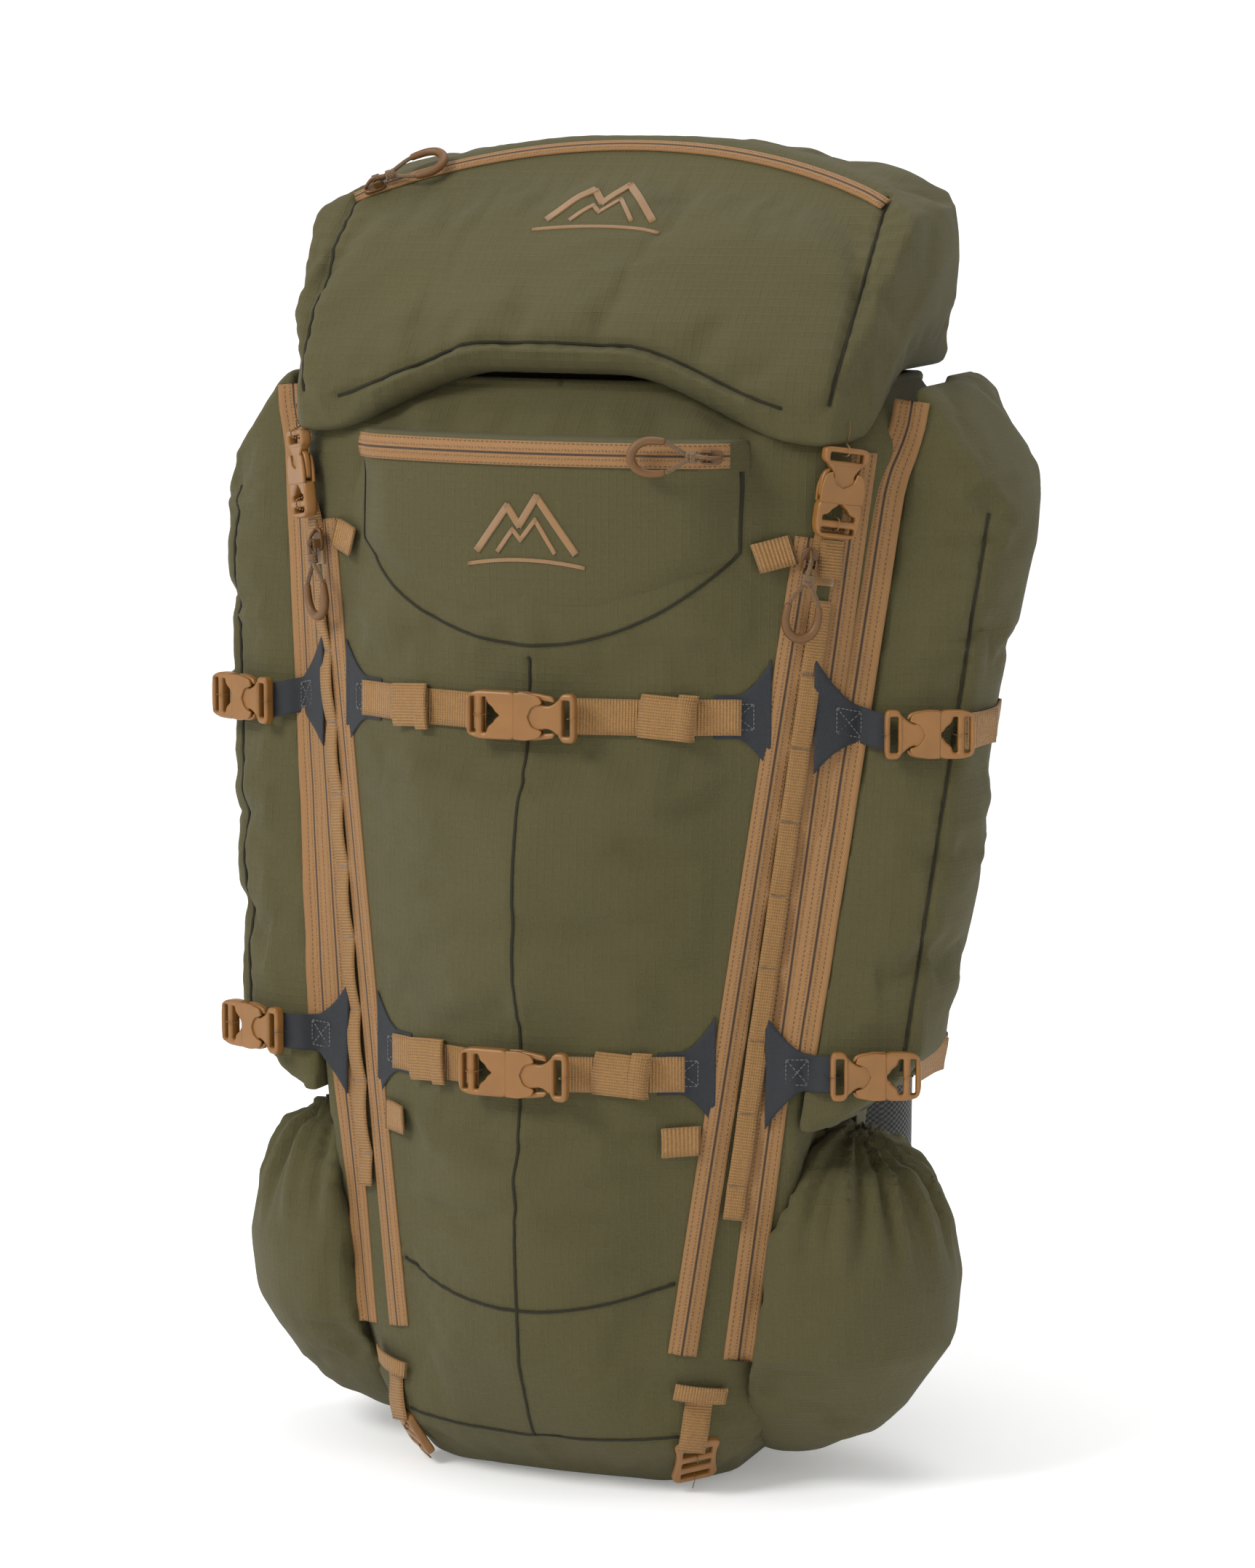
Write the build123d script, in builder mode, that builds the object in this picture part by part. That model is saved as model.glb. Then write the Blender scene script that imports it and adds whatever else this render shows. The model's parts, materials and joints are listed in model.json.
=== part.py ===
"""A large hunting backpack: hollow main bag, pockets, lid, zips, straps, buckles, frame and harness.

Frame: +Z up, the pack stands on Z 0, its front faces -Y and the wearer's back is at +Y.
The origin is the middle of the flat base. Left is -X, which is also the wearer's left.
All sizes are in millimetres.
"""

from build123d import *
import math
import os

os.makedirs("parts", exist_ok=True)

# ---------------------------------------------------------------- driving sizes
WALL = 4.0  # padded fabric wall of the main bag
BACK_Y = 120.0  # flat back panel of the main bag
BAG_TOP = 790.0  # rim of the main bag's mouth
SHOULDER_Z = 748.0  # where the bag starts to draw in towards its mouth
BOOT_Z = 104.0  # top of the tucked-in bottom
WEB = 25.0  # compression webbing width
WEB_NARROW = 20.0  # harness and bottom webbing width
WEB_THICK = 1.6
GAP = 1.2  # clearance between a strap and the fabric below it
UPPER_Z = 560.0  # middle of the upper compression strap
LOWER_Z = 310.0  # middle of the lower compression strap
BUCKLE_THICK = 10.0
BUCKLE_LIFT = GAP + WEB_THICK + 0.7 + BUCKLE_THICK / 2  # buckle mid-plane above the fabric
ZIP_WIDTH = 20.0
ZIP_THICK = 1.5
ZIP_LIFT = 3.6  # zip tape's middle above the fabric, which leaves room for the patches below it
HINGE_Y = BACK_Y + 6.0  # the lid turns about this line, at its lower back edge
HINGE_Z = BAG_TOP + 6.0

# Straight seams up the front corners, each as a point and its lean per mm of height.
FRONT_ZIP = ((109.0, -125.0, 104.0), (0.1302, 0.0816))
SIDE_ZIP = ((138.0, -107.0, 84.0), (0.1084, 0.0798))
POCKET_ZIP = ((191.0, -90.0, 330.0), (0.1057, 0.163))
# The side wall is the plane x = SIDE_X + SIDE_DY * y + SIDE_DZ * z.
SIDE_DY = -0.08
SIDE_DZ = POCKET_ZIP[1][0] - SIDE_DY * POCKET_ZIP[1][1]
SIDE_X = POCKET_ZIP[0][0] - SIDE_DY * POCKET_ZIP[0][1] - SIDE_DZ * POCKET_ZIP[0][2]


def seam(line, z):
    """The point of a straight corner seam at height z, on the right-hand side."""
    (x, y, z0), (dx, dy) = line
    return (x + dx * (z - z0), y + dy * (z - z0))


def side_x(y, z):
    return SIDE_X + SIDE_DY * y + SIDE_DZ * z


def straight_section(z, front_y):
    """Half of the bag's outline at a height where all corner seams are straight, front centre to back."""
    ax, ay = seam(FRONT_ZIP, z)
    return [
        (0.0, front_y),
        (0.55 * ax, front_y + 0.3 * (ay - front_y)),
        (ax, ay),
        seam(SIDE_ZIP, z),
        seam(POCKET_ZIP, z) if z > 280 else (side_x(-75, z), -75.0),
        (side_x(BACK_Y, z), BACK_Y),
    ]


LEVELS = {
    0.0: [(0.0, -92.0), (52.0, -90.0), (88.0, -84.0), (104.0, -72.0), (120.0, -45.0), (118.0, 105.0)],
    45.0: [(0.0, -122.0), (58.0, -120.0), (101.0, -113.0), (120.0, -96.0), (141.0, -65.0), (134.0, 118.0)],
    BOOT_Z: straight_section(BOOT_Z, -150.0),
    290.0: straight_section(290.0, -160.0),
    440.0: straight_section(440.0, -155.0),
    600.0: straight_section(600.0, -138.0),
    SHOULDER_Z: straight_section(SHOULDER_Z, -110.0),
    BAG_TOP: [(0.0, -72.0), (96.0, -68.0), (168.0, -52.0), (184.0, -38.0), (206.0, -8.0), (198.0, 116.0)],
}


def section(z):
    """Half of the bag's outline at any height: the walls between two levels are straight."""
    heights = sorted(LEVELS)
    below = max(h for h in heights if h <= z)
    above = min(h for h in heights if h >= z)
    if above == below:
        return LEVELS[below]
    t = (z - below) / (above - below)
    pairs = zip(LEVELS[below], LEVELS[above])
    return [(a[0] + t * (b[0] - a[0]), a[1] + t * (b[1] - a[1])) for a, b in pairs]


def whole(half):
    """A closed outline from its right-hand half."""
    return half + [(-x, y) for x, y in reversed(half) if abs(x) > 1e-6]


def along(half, start, end):
    """Part of an outline, from one place to another. A place is a corner's number plus a fraction.

    Negative places are on the left. The points run from left to right.
    """
    def at(place):
        i = min(int(abs(place)), len(half) - 2)
        t = abs(place) - i
        (x0, y0), (x1, y1) = half[i], half[i + 1]
        x = x0 + t * (x1 - x0)
        return (x if place >= 0 else -x, y0 + t * (y1 - y0))

    corners = [n for n in range(-len(half) + 1, len(half)) if start < n < end]
    return [at(start)] + [at(n) for n in corners] + [at(end)]


def beside(corner, neighbour, reach):
    """The point this far from a corner towards its neighbour."""
    length = math.dist(corner, neighbour)
    return tuple(c + reach / length * (n - c) for c, n in zip(corner, neighbour))


def save(part, name):
    part.label = name
    export_step(part, f"parts/{name}.step")


def offset_path(points, distance):
    """An open path moved sideways, to its right as it runs."""
    normals = []
    for (x0, y0), (x1, y1) in zip(points, points[1:]):
        length = math.hypot(x1 - x0, y1 - y0)
        normals.append(((y1 - y0) / length, (x0 - x1) / length))
    moved = []
    for i, (x, y) in enumerate(points):
        before, after = normals[max(i - 1, 0)], normals[min(i, len(normals) - 1)]
        mx, my = before[0] + after[0], before[1] + after[1]
        scale = 2 * distance / (mx * mx + my * my)
        moved.append((x + mx * scale, y + my * scale))
    return moved


def band_outline(points, gap, thick):
    return offset_path(points, gap) + offset_path(points, gap + thick)[::-1]


def band(path_at, heights, gap=GAP, thick=WEB_THICK):
    """A thin strap on the fabric, following path_at(z) at each of the heights."""
    with BuildPart() as strap:
        for z in heights:
            with BuildSketch(Plane.XY.offset(z)):
                with BuildLine():
                    Polyline(*band_outline(path_at(z), gap, thick), close=True)
                make_face()
        loft(ruled=True)
    return strap.part


def walls(levels, outline_at):
    """A ruled solid through one outline at each height."""
    with BuildPart() as solid:
        for z in levels:
            with BuildSketch(Plane.XY.offset(z)):
                with BuildLine():
                    Polyline(*outline_at(z), close=True)
                make_face()
        loft(ruled=True)
    return solid.part


def pair(part):
    """A right-hand piece and its mirror image, as two solids."""
    with BuildPart() as both:
        add(part)
        mirror(part, about=Plane.YZ)
    return both.part


def left_of(part):
    with BuildPart() as left:
        mirror(part, about=Plane.YZ)
    return left.part


# ---------------------------------------------------------------- main bag
bag_outer = walls(sorted(LEVELS), lambda z: whole(section(z)))

with BuildPart() as hollow_bag:
    add(bag_outer)
    for z in sorted(LEVELS):
        floor_z = WALL if z == 0 else z
        with BuildSketch(Plane.XY.offset(floor_z + (1.0 if z == BAG_TOP else 0.0))):
            with BuildLine():
                Polyline(*whole(section(floor_z)), close=True)
            make_face()
            offset(amount=-WALL, kind=Kind.INTERSECTION)
    loft(ruled=True, mode=Mode.SUBTRACT)


def cut_from_bag(x, y, z, size):
    """The part of the bag's wall inside a box, which starts at a corner and has the given size."""
    with BuildPart() as panel:
        add(hollow_bag.part)
        with Locations((x, y, z)):
            Box(*size, align=Align.MIN, mode=Mode.INTERSECT)
    return panel.part


REACH = 1000.0  # longer than the bag in any direction
save(cut_from_bag(-REACH, -REACH, 0, (2 * REACH, 2 * REACH, WALL)), "base_panel")
save(cut_from_bag(-REACH, BACK_Y - WALL, WALL, (2 * REACH, REACH, REACH)), "back_panel")
save(cut_from_bag(-REACH, -REACH, WALL, (2 * REACH, REACH + BACK_Y - WALL, REACH)), "main_bag")

# ---------------------------------------------------------------- front pocket
POCKET_LOW = 606.0  # lowest point of the rounded front pocket
POCKET_HIGH = 752.0  # where its zip runs
POCKET_HALF = 146.0
POCKET_FRONT = -146.0  # furthest forward point of its face
POCKET_SAG = 27.0  # how much its face curves back at the ends of the zip
FRONT_R = (POCKET_HALF**2 + POCKET_SAG**2) / (2 * POCKET_SAG)
FRONT_CENTRE = POCKET_FRONT + FRONT_R

with BuildPart() as front_pocket:
    with BuildSketch(Plane.XZ.offset(60)):
        with BuildLine():
            rim = Line((-POCKET_HALF, POCKET_HIGH), (POCKET_HALF, POCKET_HIGH))
            right = Line(rim @ 1, (POCKET_HALF, 676))
            left = Line(rim @ 0, (-POCKET_HALF, 676))
            ThreePointArc(left @ 1, (0, POCKET_LOW), right @ 1)
        make_face()
    extrude(amount=140)
    with BuildSketch(Plane.XY.offset(POCKET_LOW - 10)):
        with Locations((0, FRONT_CENTRE)):
            Circle(FRONT_R)
    extrude(amount=POCKET_HIGH - POCKET_LOW + 20, mode=Mode.INTERSECT)
    add(bag_outer, mode=Mode.SUBTRACT)
save(front_pocket.part, "front_pocket")

with BuildPart() as front_pocket_zip:
    with BuildSketch(Plane.XY.offset(POCKET_HIGH - 18)):
        with Locations((0, FRONT_CENTRE)):
            Circle(FRONT_R + 0.6 + ZIP_THICK)
            Circle(FRONT_R + 0.6, mode=Mode.SUBTRACT)
        with Locations((0, POCKET_FRONT)):
            Rectangle(2 * POCKET_HALF - 10, 80, mode=Mode.INTERSECT)
    extrude(amount=ZIP_WIDTH - 4)
save(front_pocket_zip.part, "front_pocket_zip")

# ---------------------------------------------------------------- side pockets
SIDE_LOW, SIDE_HIGH = 262.0, 788.0
SIDE_SEAM = ((283.0, -31.0, 520.0), (0.10, 0.165))


def side_pocket_section(z):
    sx, sy = seam(SIDE_SEAM, z)
    inner_x, inner_y = seam(POCKET_ZIP, z)
    back_y = sy + 122
    return [
        (inner_x, inner_y),
        (inner_x + 0.5 * (sx - inner_x), inner_y + 0.38 * (sy - inner_y) - 5),
        (sx, sy),
        (sx + 3, sy + 40),
        (sx - 8, sy + 84),
        (side_x(back_y, z), back_y),
    ]


with BuildPart() as side_pocket:
    add(walls((SIDE_LOW, SIDE_HIGH), side_pocket_section))
    with BuildSketch(Plane.XZ.offset(150)):
        with BuildLine():
            Polyline(
                (170, 268), (198, 268), (246, 300), (264, 322), (272, 356), (306, 690), (308, 722),
                (292, 752), (252, 784), (238, 788), (170, 788), close=True,
            )
        make_face()
    extrude(amount=-330, mode=Mode.INTERSECT)
save(side_pocket.part, "side_pocket_right")
save(left_of(side_pocket.part), "side_pocket_left")

# ---------------------------------------------------------------- gathered pockets at the base
BASE_CENTRE = (150.0, -10.0)
BASE_DEPTH = 0.86  # depth of its outline over its width
# Height and half-width of the gathered pocket, from its sagging bottom to its elastic hem.
BASE_SHAPE = ((16, 24), (34, 56), (60, 84), (105, 113), (150, 118), (190, 109), (222, 92), (246, 66), (262, 36))


def base_outline(z):
    half = dict(BASE_SHAPE)[z]
    cx, cy = BASE_CENTRE
    steps = 20
    turns = [2 * math.pi * i / steps for i in range(steps)]
    return [(cx + half * math.cos(t), cy + half * BASE_DEPTH * math.sin(t)) for t in turns]


def ahead_of_base_pocket(z):
    """The space in front of the gathered pocket, which leaves the gusset zip clear."""
    x, y = beside(section(z)[3], section(z)[4], 15.0)
    return [(x, y), (x + 20, y - 30), (x + 20, y - 120), (0, y - 120), (0, 0), (x - 40, 0)]


with BuildPart() as base_pocket:
    add(walls([z for z, _ in BASE_SHAPE], base_outline))
    add(walls((10, BOOT_Z, 270), ahead_of_base_pocket), mode=Mode.SUBTRACT)
    add(bag_outer, mode=Mode.SUBTRACT)
    with BuildSketch(Plane.XY):
        Rectangle(260, 400)
    extrude(amount=300, mode=Mode.SUBTRACT)
save(base_pocket.part, "base_pocket_right")
save(left_of(base_pocket.part), "base_pocket_left")

# ---------------------------------------------------------------- zips and webbing up the corners
ZIP_HALF = 9.0
STRAIGHT = (290.0, 440.0, 600.0)


def zip_path(index):
    """The zip tape round one corner of the bag's outline."""
    def path_at(z):
        half = section(z)
        last = side_pocket_section(z)[1] if index == 4 else half[index + 1]
        return [beside(half[index], half[index - 1], ZIP_HALF), half[index], beside(half[index], last, ZIP_HALF)]

    return path_at


def heights(low, high):
    return [low] + [z for z in STRAIGHT if low < z < high] + [high]


def zip_band(index, low, high):
    return band(zip_path(index), heights(low, high), ZIP_LIFT - ZIP_THICK / 2, ZIP_THICK)


save(pair(zip_band(2, 112, 682)), "corner_zips")
save(pair(zip_band(3, 112, 736)), "gusset_zips")
save(pair(zip_band(4, 306, 690)), "side_pocket_zips")

DAISY_HALF = 7.5
DAISY_GAP = ZIP_LIFT + ZIP_THICK / 2 + 0.5


def daisy_path(z):
    """Webbing down the middle of the narrow face between the two corner zips."""
    corner, nxt = section(z)[2], section(z)[3]
    middle = math.dist(corner, nxt) / 2
    return [beside(corner, nxt, middle - DAISY_HALF), beside(corner, nxt, middle + DAISY_HALF)]


save(pair(band(daisy_path, heights(120, 680), DAISY_GAP, 1.4)), "daisy_chains")

# ---------------------------------------------------------------- compression straps
PATCH_HIGH = 66.0  # height of the sewn patches under the corner zips
PATCH_GAP, PATCH_THICK = 0.2, 0.8


def front_band(centre, tall, start, end, gap=GAP, thick=WEB_THICK):
    """A band on the bag's front, centre and height given, between two places on the outline."""
    spans = heights(centre - tall / 2, centre + tall / 2)
    return band(lambda z: along(section(z), start, end), spans, gap, thick)


def pocket_band(centre, tall, start, end, gap=GAP, thick=WEB_THICK):
    """A band round a side pocket, between two places on its outline."""
    def path_at(z):
        points = side_pocket_section(z)
        i, j = int(start), int(end)
        first = beside(points[i], points[i + 1], (start - i) * math.dist(points[i], points[i + 1]))
        last = points[j] if end == j else beside(points[j], points[j + 1], (end - j) * math.dist(points[j], points[j + 1]))
        return [first] + points[i + 1:j + (0 if end == j else 1)] + [last]

    return band(path_at, (centre - tall / 2, centre + tall / 2), gap, thick)


with BuildPart() as patches:
    for height in (UPPER_Z, LOWER_Z):
        add(front_band(height, PATCH_HIGH, 1.75, 3.95, PATCH_GAP, PATCH_THICK))
save(pair(patches.part), "strap_patches")

for name, height in (("upper", UPPER_Z), ("lower", LOWER_Z)):
    save(front_band(height, WEB, -1.86, 1.86), f"{name}_front_strap")
    side_height = height - (12 if name == "upper" else -2)
    save(pair(pocket_band(side_height, WEB, 0.25, 4.9)), f"{name}_side_straps")

with BuildPart() as keepers:
    for height in (UPPER_Z, LOWER_Z):
        add(front_band(height, WEB + 5, 0.95, 1.3, GAP + WEB_THICK + 0.3, 1.0))
save(pair(keepers.part), "strap_keepers")

with BuildPart() as tool_tabs:
    add(front_band(676, 24, 1.68, 1.82, PATCH_GAP, 2.0))
    add(front_band(262, 24, 1.70, 1.84, PATCH_GAP, 2.0))
save(pair(tool_tabs.part), "tool_tabs")

# ---------------------------------------------------------------- buckles
# Local frame of a buckle: X points out of the socket along the strap, Z away from the pack.
MOUTH = 14.0  # the socket's mouth
CAVITY_HALF = 3.2  # half the height of the socket's slot
FIT = 0.4


def plate(outline, thick, soften=0.0):
    """A flat piece centred on its own mid-plane, with its outer edges softened."""
    with BuildPart() as piece:
        with BuildSketch():
            with BuildLine():
                Polyline(*outline, close=True)
            make_face()
        extrude(amount=thick / 2, both=True)
        if soften:
            chamfer(piece.faces().filter_by(Axis.Z).edges(), soften)
    return piece.part


def mirrored(outline):
    """A closed outline from its upper half."""
    return outline + [(x, -y) for x, y in reversed(outline)]


def make_socket(end):
    """The receiving half of a side-release buckle. Its ladder end is at x = end."""
    with BuildPart() as piece:
        add(plate(mirrored([(end, 13.5), (end + 3, 16.5), (-8, 16.5), (-5, 12.5), (MOUTH, 11.5)]), BUCKLE_THICK, 1.2))
        with BuildSketch(Plane.XY.offset(-CAVITY_HALF)):
            with Locations((5, 0)):
                Rectangle(24, 40)
            with Locations((-10, 0)):
                Rectangle(10, 25)
        extrude(amount=2 * CAVITY_HALF, mode=Mode.SUBTRACT)
        with BuildSketch():
            for x in (end + 5.5, end + 12.0):
                with Locations((x, 0)):
                    Rectangle(3.5, WEB + 1)
        extrude(amount=BUCKLE_THICK, both=True, mode=Mode.SUBTRACT)
        with BuildSketch():
            with BuildLine():
                Polyline((-11, 0), (-3, 7.5), (4, 5.5), (1.5, 0), (4, -5.5), (-3, -7.5), close=True)
            make_face()
        extrude(amount=BUCKLE_THICK, mode=Mode.SUBTRACT)
    return piece.part


def make_clip(end):
    """The plug half: two springy prongs, a centre tongue and a frame that holds the web."""
    inner = 2 * (CAVITY_HALF - FIT)
    prong = [(13, 9.0), (-4, 10.5), (-5.5, 13.5), (-3, 16.4), (4, 16.4), (9, 13.2), (13, 12.6)]
    with BuildPart() as piece:
        add(plate(mirrored([(9.5, 12.0), (13.5, 12.0), (16, 7.5), (end - 14.5, 7.5), (end - 12, 10.0)]), inner))
        add(plate(prong, inner))
        add(plate([(x, -y) for x, y in prong], inner))
        add(plate(mirrored([(-10, 2.5), (-8, 4), (12, 4)]), inner))
        add(plate(mirrored([(end - 14, 11.0), (end - 11, 16.0), (end - 8, 17.0), (end - 2, 17.0), (end, 15.0)]), 7.0, 1.0))
        with BuildSketch():
            with Locations((end - 7, 0)):
                Rectangle(7, WEB + 1)
        extrude(amount=BUCKLE_THICK, both=True, mode=Mode.SUBTRACT)
    return piece.part


long_socket, long_clip = make_socket(-44.0), make_clip(38.0)
short_socket, short_clip = make_socket(-32.0), make_clip(31.0)


def buckle_plane(start, end, lift):
    """A buckle's plane: from its socket's side towards its clip's side, lifted off the fabric."""
    along_strap = (Vector(*end) - Vector(*start)).normalized()
    out = Vector(0, 0, 1).cross(along_strap) if abs(along_strap.Z) < 0.5 else None
    middle = (Vector(*start) + Vector(*end)) * 0.5
    if out is None:
        across = Vector(1, 1, 0).normalized()
        out = along_strap.cross(across).normalized()
    if out.Y > 0:
        out = out * -1.0
    return Plane(origin=middle + out * lift, x_dir=along_strap, z_dir=out)


def placed(shape, plane):
    return shape.moved(plane.location)


# Each buckle's plane has its X along the strap, and the clip slides out that way.
front_buckle_planes = {}
for name, height in (("upper", UPPER_Z), ("lower", LOWER_Z)):
    front_y = min(section(height - 16)[0][1], section(height + 16)[0][1])
    front_buckle_planes[name] = Plane(origin=(3, front_y - BUCKLE_LIFT, height), x_dir=(1, 0, 0), z_dir=(0, -1, 0))

with BuildPart() as front_sockets:
    for name, where in front_buckle_planes.items():
        add(placed(long_socket, where))
        save(placed(long_clip, where), f"{name}_front_clip")
save(front_sockets.part, "front_buckle_sockets")

SIDE_BUCKLE_LIFT = 10.0 + BUCKLE_THICK / 2  # above the chord of the pocket's bulging front
side_buckle_planes = {}
for name, height in (("upper", UPPER_Z - 12), ("lower", LOWER_Z + 2)):
    points = side_pocket_section(height)
    inner = beside(points[0], points[1], 0.45 * math.dist(points[0], points[1]))
    side_buckle_planes[name] = buckle_plane((*points[2], height), (*inner, height), SIDE_BUCKLE_LIFT)

with BuildPart() as side_sockets:
    for name, where in side_buckle_planes.items():
        add(placed(short_socket, where))
        save(placed(short_clip, where), f"{name}_side_clip_right")
        save(left_of(placed(short_clip, where)), f"{name}_side_clip_left")
save(pair(side_sockets.part), "side_buckle_sockets")

LID_BUCKLE_LOW, LID_BUCKLE_HIGH = 686.0, 746.0
LID_BUCKLE_LIFT = 6.0 + BUCKLE_THICK / 2


def strip_middle(z):
    """The middle of the narrow face between the corner zip and the gusset zip."""
    corner, nxt = section(z)[2], section(z)[3]
    return ((corner[0] + nxt[0]) / 2, (corner[1] + nxt[1]) / 2, z)


lid_plane = buckle_plane(strip_middle(LID_BUCKLE_LOW), strip_middle(LID_BUCKLE_HIGH), LID_BUCKLE_LIFT)
save(pair(placed(short_socket, lid_plane)), "lid_buckle_sockets")
save(placed(short_clip, lid_plane), "lid_clip_right")
save(left_of(placed(short_clip, lid_plane)), "lid_clip_left")

# ---------------------------------------------------------------- lid
LID_FLOOR = BAG_TOP + 3.0
LID_TOP = LID_FLOOR + 164.0
LID_SLOPE = 42.7  # degrees, front panel above the horizontal
LID_EDGE = (-92.0, LID_FLOOR + 15.0)  # y, z where the sloping front panel starts
ARCH_R = 402.0  # radius of the arched zip, within the front panel
ARCH_DROP = 5.0  # top of the arch below the crest of the lid
u_y, u_z = math.cos(math.radians(LID_SLOPE)), math.sin(math.radians(LID_SLOPE))
RISE = (LID_TOP - 6 - LID_EDGE[1]) / u_z  # length of the front panel up its middle

with BuildPart() as lid:
    with BuildSketch(Plane.YZ.offset(-260)):
        with BuildLine():
            Polyline(
                (-82, LID_FLOOR), LID_EDGE, (LID_EDGE[0] + RISE * u_y, LID_EDGE[1] + RISE * u_z),
                (BACK_Y - 44, LID_TOP), (BACK_Y - 10, LID_TOP - 11), (BACK_Y + 10, LID_TOP - 31),
                (BACK_Y + 16, LID_TOP - 67), (BACK_Y + 10, LID_FLOOR + 27), (BACK_Y + 2, LID_FLOOR), close=True,
            )
        make_face()
    extrude(amount=520)
    with BuildSketch(Plane.XY.offset(LID_FLOOR - 13)):
        with BuildLine():
            Polyline(*whole([
                (0, -95), (120, -92), (205, -76), (232, -40), (247, 13), (244, BACK_Y - 30), (226, BACK_Y + 2),
                (0, BACK_Y + 20),
            ]), close=True)
        make_face()
    extrude(amount=200, mode=Mode.INTERSECT)
    with BuildSketch(Plane.XZ.offset(200)):
        with Locations((0, LID_TOP - (ARCH_R + 14) * u_z)):
            Ellipse(ARCH_R + 14, (ARCH_R + 14) * u_z)
        with BuildLine():
            Polyline(*whole([
                (0, LID_TOP + 23), (260, LID_TOP + 23), (246, LID_FLOOR + 57), (232, LID_FLOOR + 13),
                (214, LID_FLOOR - 23), (0, LID_FLOOR - 23),
            ]), close=True)
        make_face(mode=Mode.INTERSECT)
    extrude(amount=-400, mode=Mode.INTERSECT)
save(lid.part, "lid")

# The arched zip lies on the sloping front panel. Its own plane: X to the right, Y up the panel.
lid_front = Plane(origin=(0, *LID_EDGE), x_dir=(1, 0, 0), z_dir=(0, -u_z, u_y))
ARCH_CENTRE = RISE - ARCH_DROP - ARCH_R
ZIP_ARC = 29.5  # half the arch's angle

with BuildPart() as lid_zip:
    with BuildSketch(lid_front.offset(0.6)):
        with Locations((0, ARCH_CENTRE)):
            Circle(ARCH_R + 8)
            Circle(ARCH_R - 8, mode=Mode.SUBTRACT)
        with BuildLine():
            wide = 400 * math.tan(math.radians(ZIP_ARC))
            Polyline((0, ARCH_CENTRE), (wide, ARCH_CENTRE + 400), (-wide, ARCH_CENTRE + 400), close=True)
        make_face(mode=Mode.INTERSECT)
    extrude(amount=ZIP_THICK)
save(lid_zip.part, "lid_zip")

with BuildPart() as lid_webs:
    web_low = buckle_plane(strip_middle(700), strip_middle(746), GAP)
    with BuildSketch(web_low):
        with Locations((50, 0)):
            Rectangle(34, WEB)
    extrude(amount=WEB_THICK)
save(pair(lid_webs.part), "lid_webs")

# ---------------------------------------------------------------- zip sliders and their pulls
# Local frame: X along the zip towards where the pull hangs, Z away from the fabric, origin under the slider.
SLIDER_THICK = 3.4
PIN_UP = 3.2  # pin above the slider's plate
PIN_X = 3.0
PIN_R = 0.8
PIN_PLAY = 0.3  # between the pin and the eye of the pull
EAR_Y = 4.2


def make_slider():
    """A zip slider. Its pull turns on a pin that stands across it between two ears."""
    with BuildPart() as piece:
        with BuildSketch():
            RectangleRounded(14, 10, 2.5)
        extrude(amount=SLIDER_THICK)
        with BuildSketch(Plane.XY.offset(SLIDER_THICK)):
            with Locations((PIN_X, EAR_Y), (PIN_X, -EAR_Y)):
                Rectangle(4, 1.4)
        extrude(amount=PIN_UP + 1.6)
        with BuildSketch(Plane.XZ.offset(-EAR_Y)):
            with Locations((PIN_X, SLIDER_THICK + PIN_UP)):
                Circle(PIN_R)
        extrude(amount=2 * EAR_Y)
    return piece.part


def rod(path_edges, radius):
    """A round rod along a line or arc."""
    with BuildPart() as piece:
        with BuildLine():
            for points in path_edges:
                Line(*points) if len(points) == 2 else ThreePointArc(*points)
        start, towards = Vector(*path_edges[0][0]), Vector(*path_edges[0][1])
        with BuildSketch(Plane(origin=start, z_dir=(1, 0, 0) if len(path_edges) > 1 else towards - start)):
            Circle(radius)
        sweep()
    return piece.part


GRIP_R = 3.3  # moulded grip's tube
GRIP_HALF = 11.0
CORD_R = 1.7
GRIP_LEG, GRIP_END = (30.0, 41.0), 52.0


def make_pull():
    """A cord loop with a knot, moulded into a U-shaped grip. Its eye turns on the slider's pin."""
    with BuildPart() as piece:
        add(rod([
            [(GRIP_LEG[0], GRIP_HALF, 0), (GRIP_LEG[1], GRIP_HALF, 0)],
            [(GRIP_LEG[1], GRIP_HALF, 0), (GRIP_END, 0, 0), (GRIP_LEG[1], -GRIP_HALF, 0)],
            [(GRIP_LEG[1], -GRIP_HALF, 0), (GRIP_LEG[0], -GRIP_HALF, 0)],
        ], GRIP_R))
        for side in (1, -1):
            add(rod([[(10, 1.2 * side, 0), (GRIP_LEG[0] + 2, (GRIP_HALF - 0.4) * side, 0)]], CORD_R))
        with Locations((10, 0, 0)):
            Sphere(3.2)
        add(rod([[(1.6, 0, 0), (10, 0, 0)]], 1.6))
        with BuildSketch(Plane.XZ):
            Circle(PIN_R + 1.6)
        extrude(amount=3.0, both=True)
        with BuildSketch(Plane.XZ):
            Circle(PIN_R + PIN_PLAY)
        extrude(amount=5.0, both=True, mode=Mode.SUBTRACT)
    return piece.part


def save_slider(name, plane):
    """A slider and its pull, on a plane that touches the zip's outer face. The pull lies along the plane's X."""
    save(placed(make_slider(), plane), f"{name}_slider")
    save(placed(make_pull().moved(Location((PIN_X, 0, SLIDER_THICK + PIN_UP))), plane), f"{name}_pull")


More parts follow.
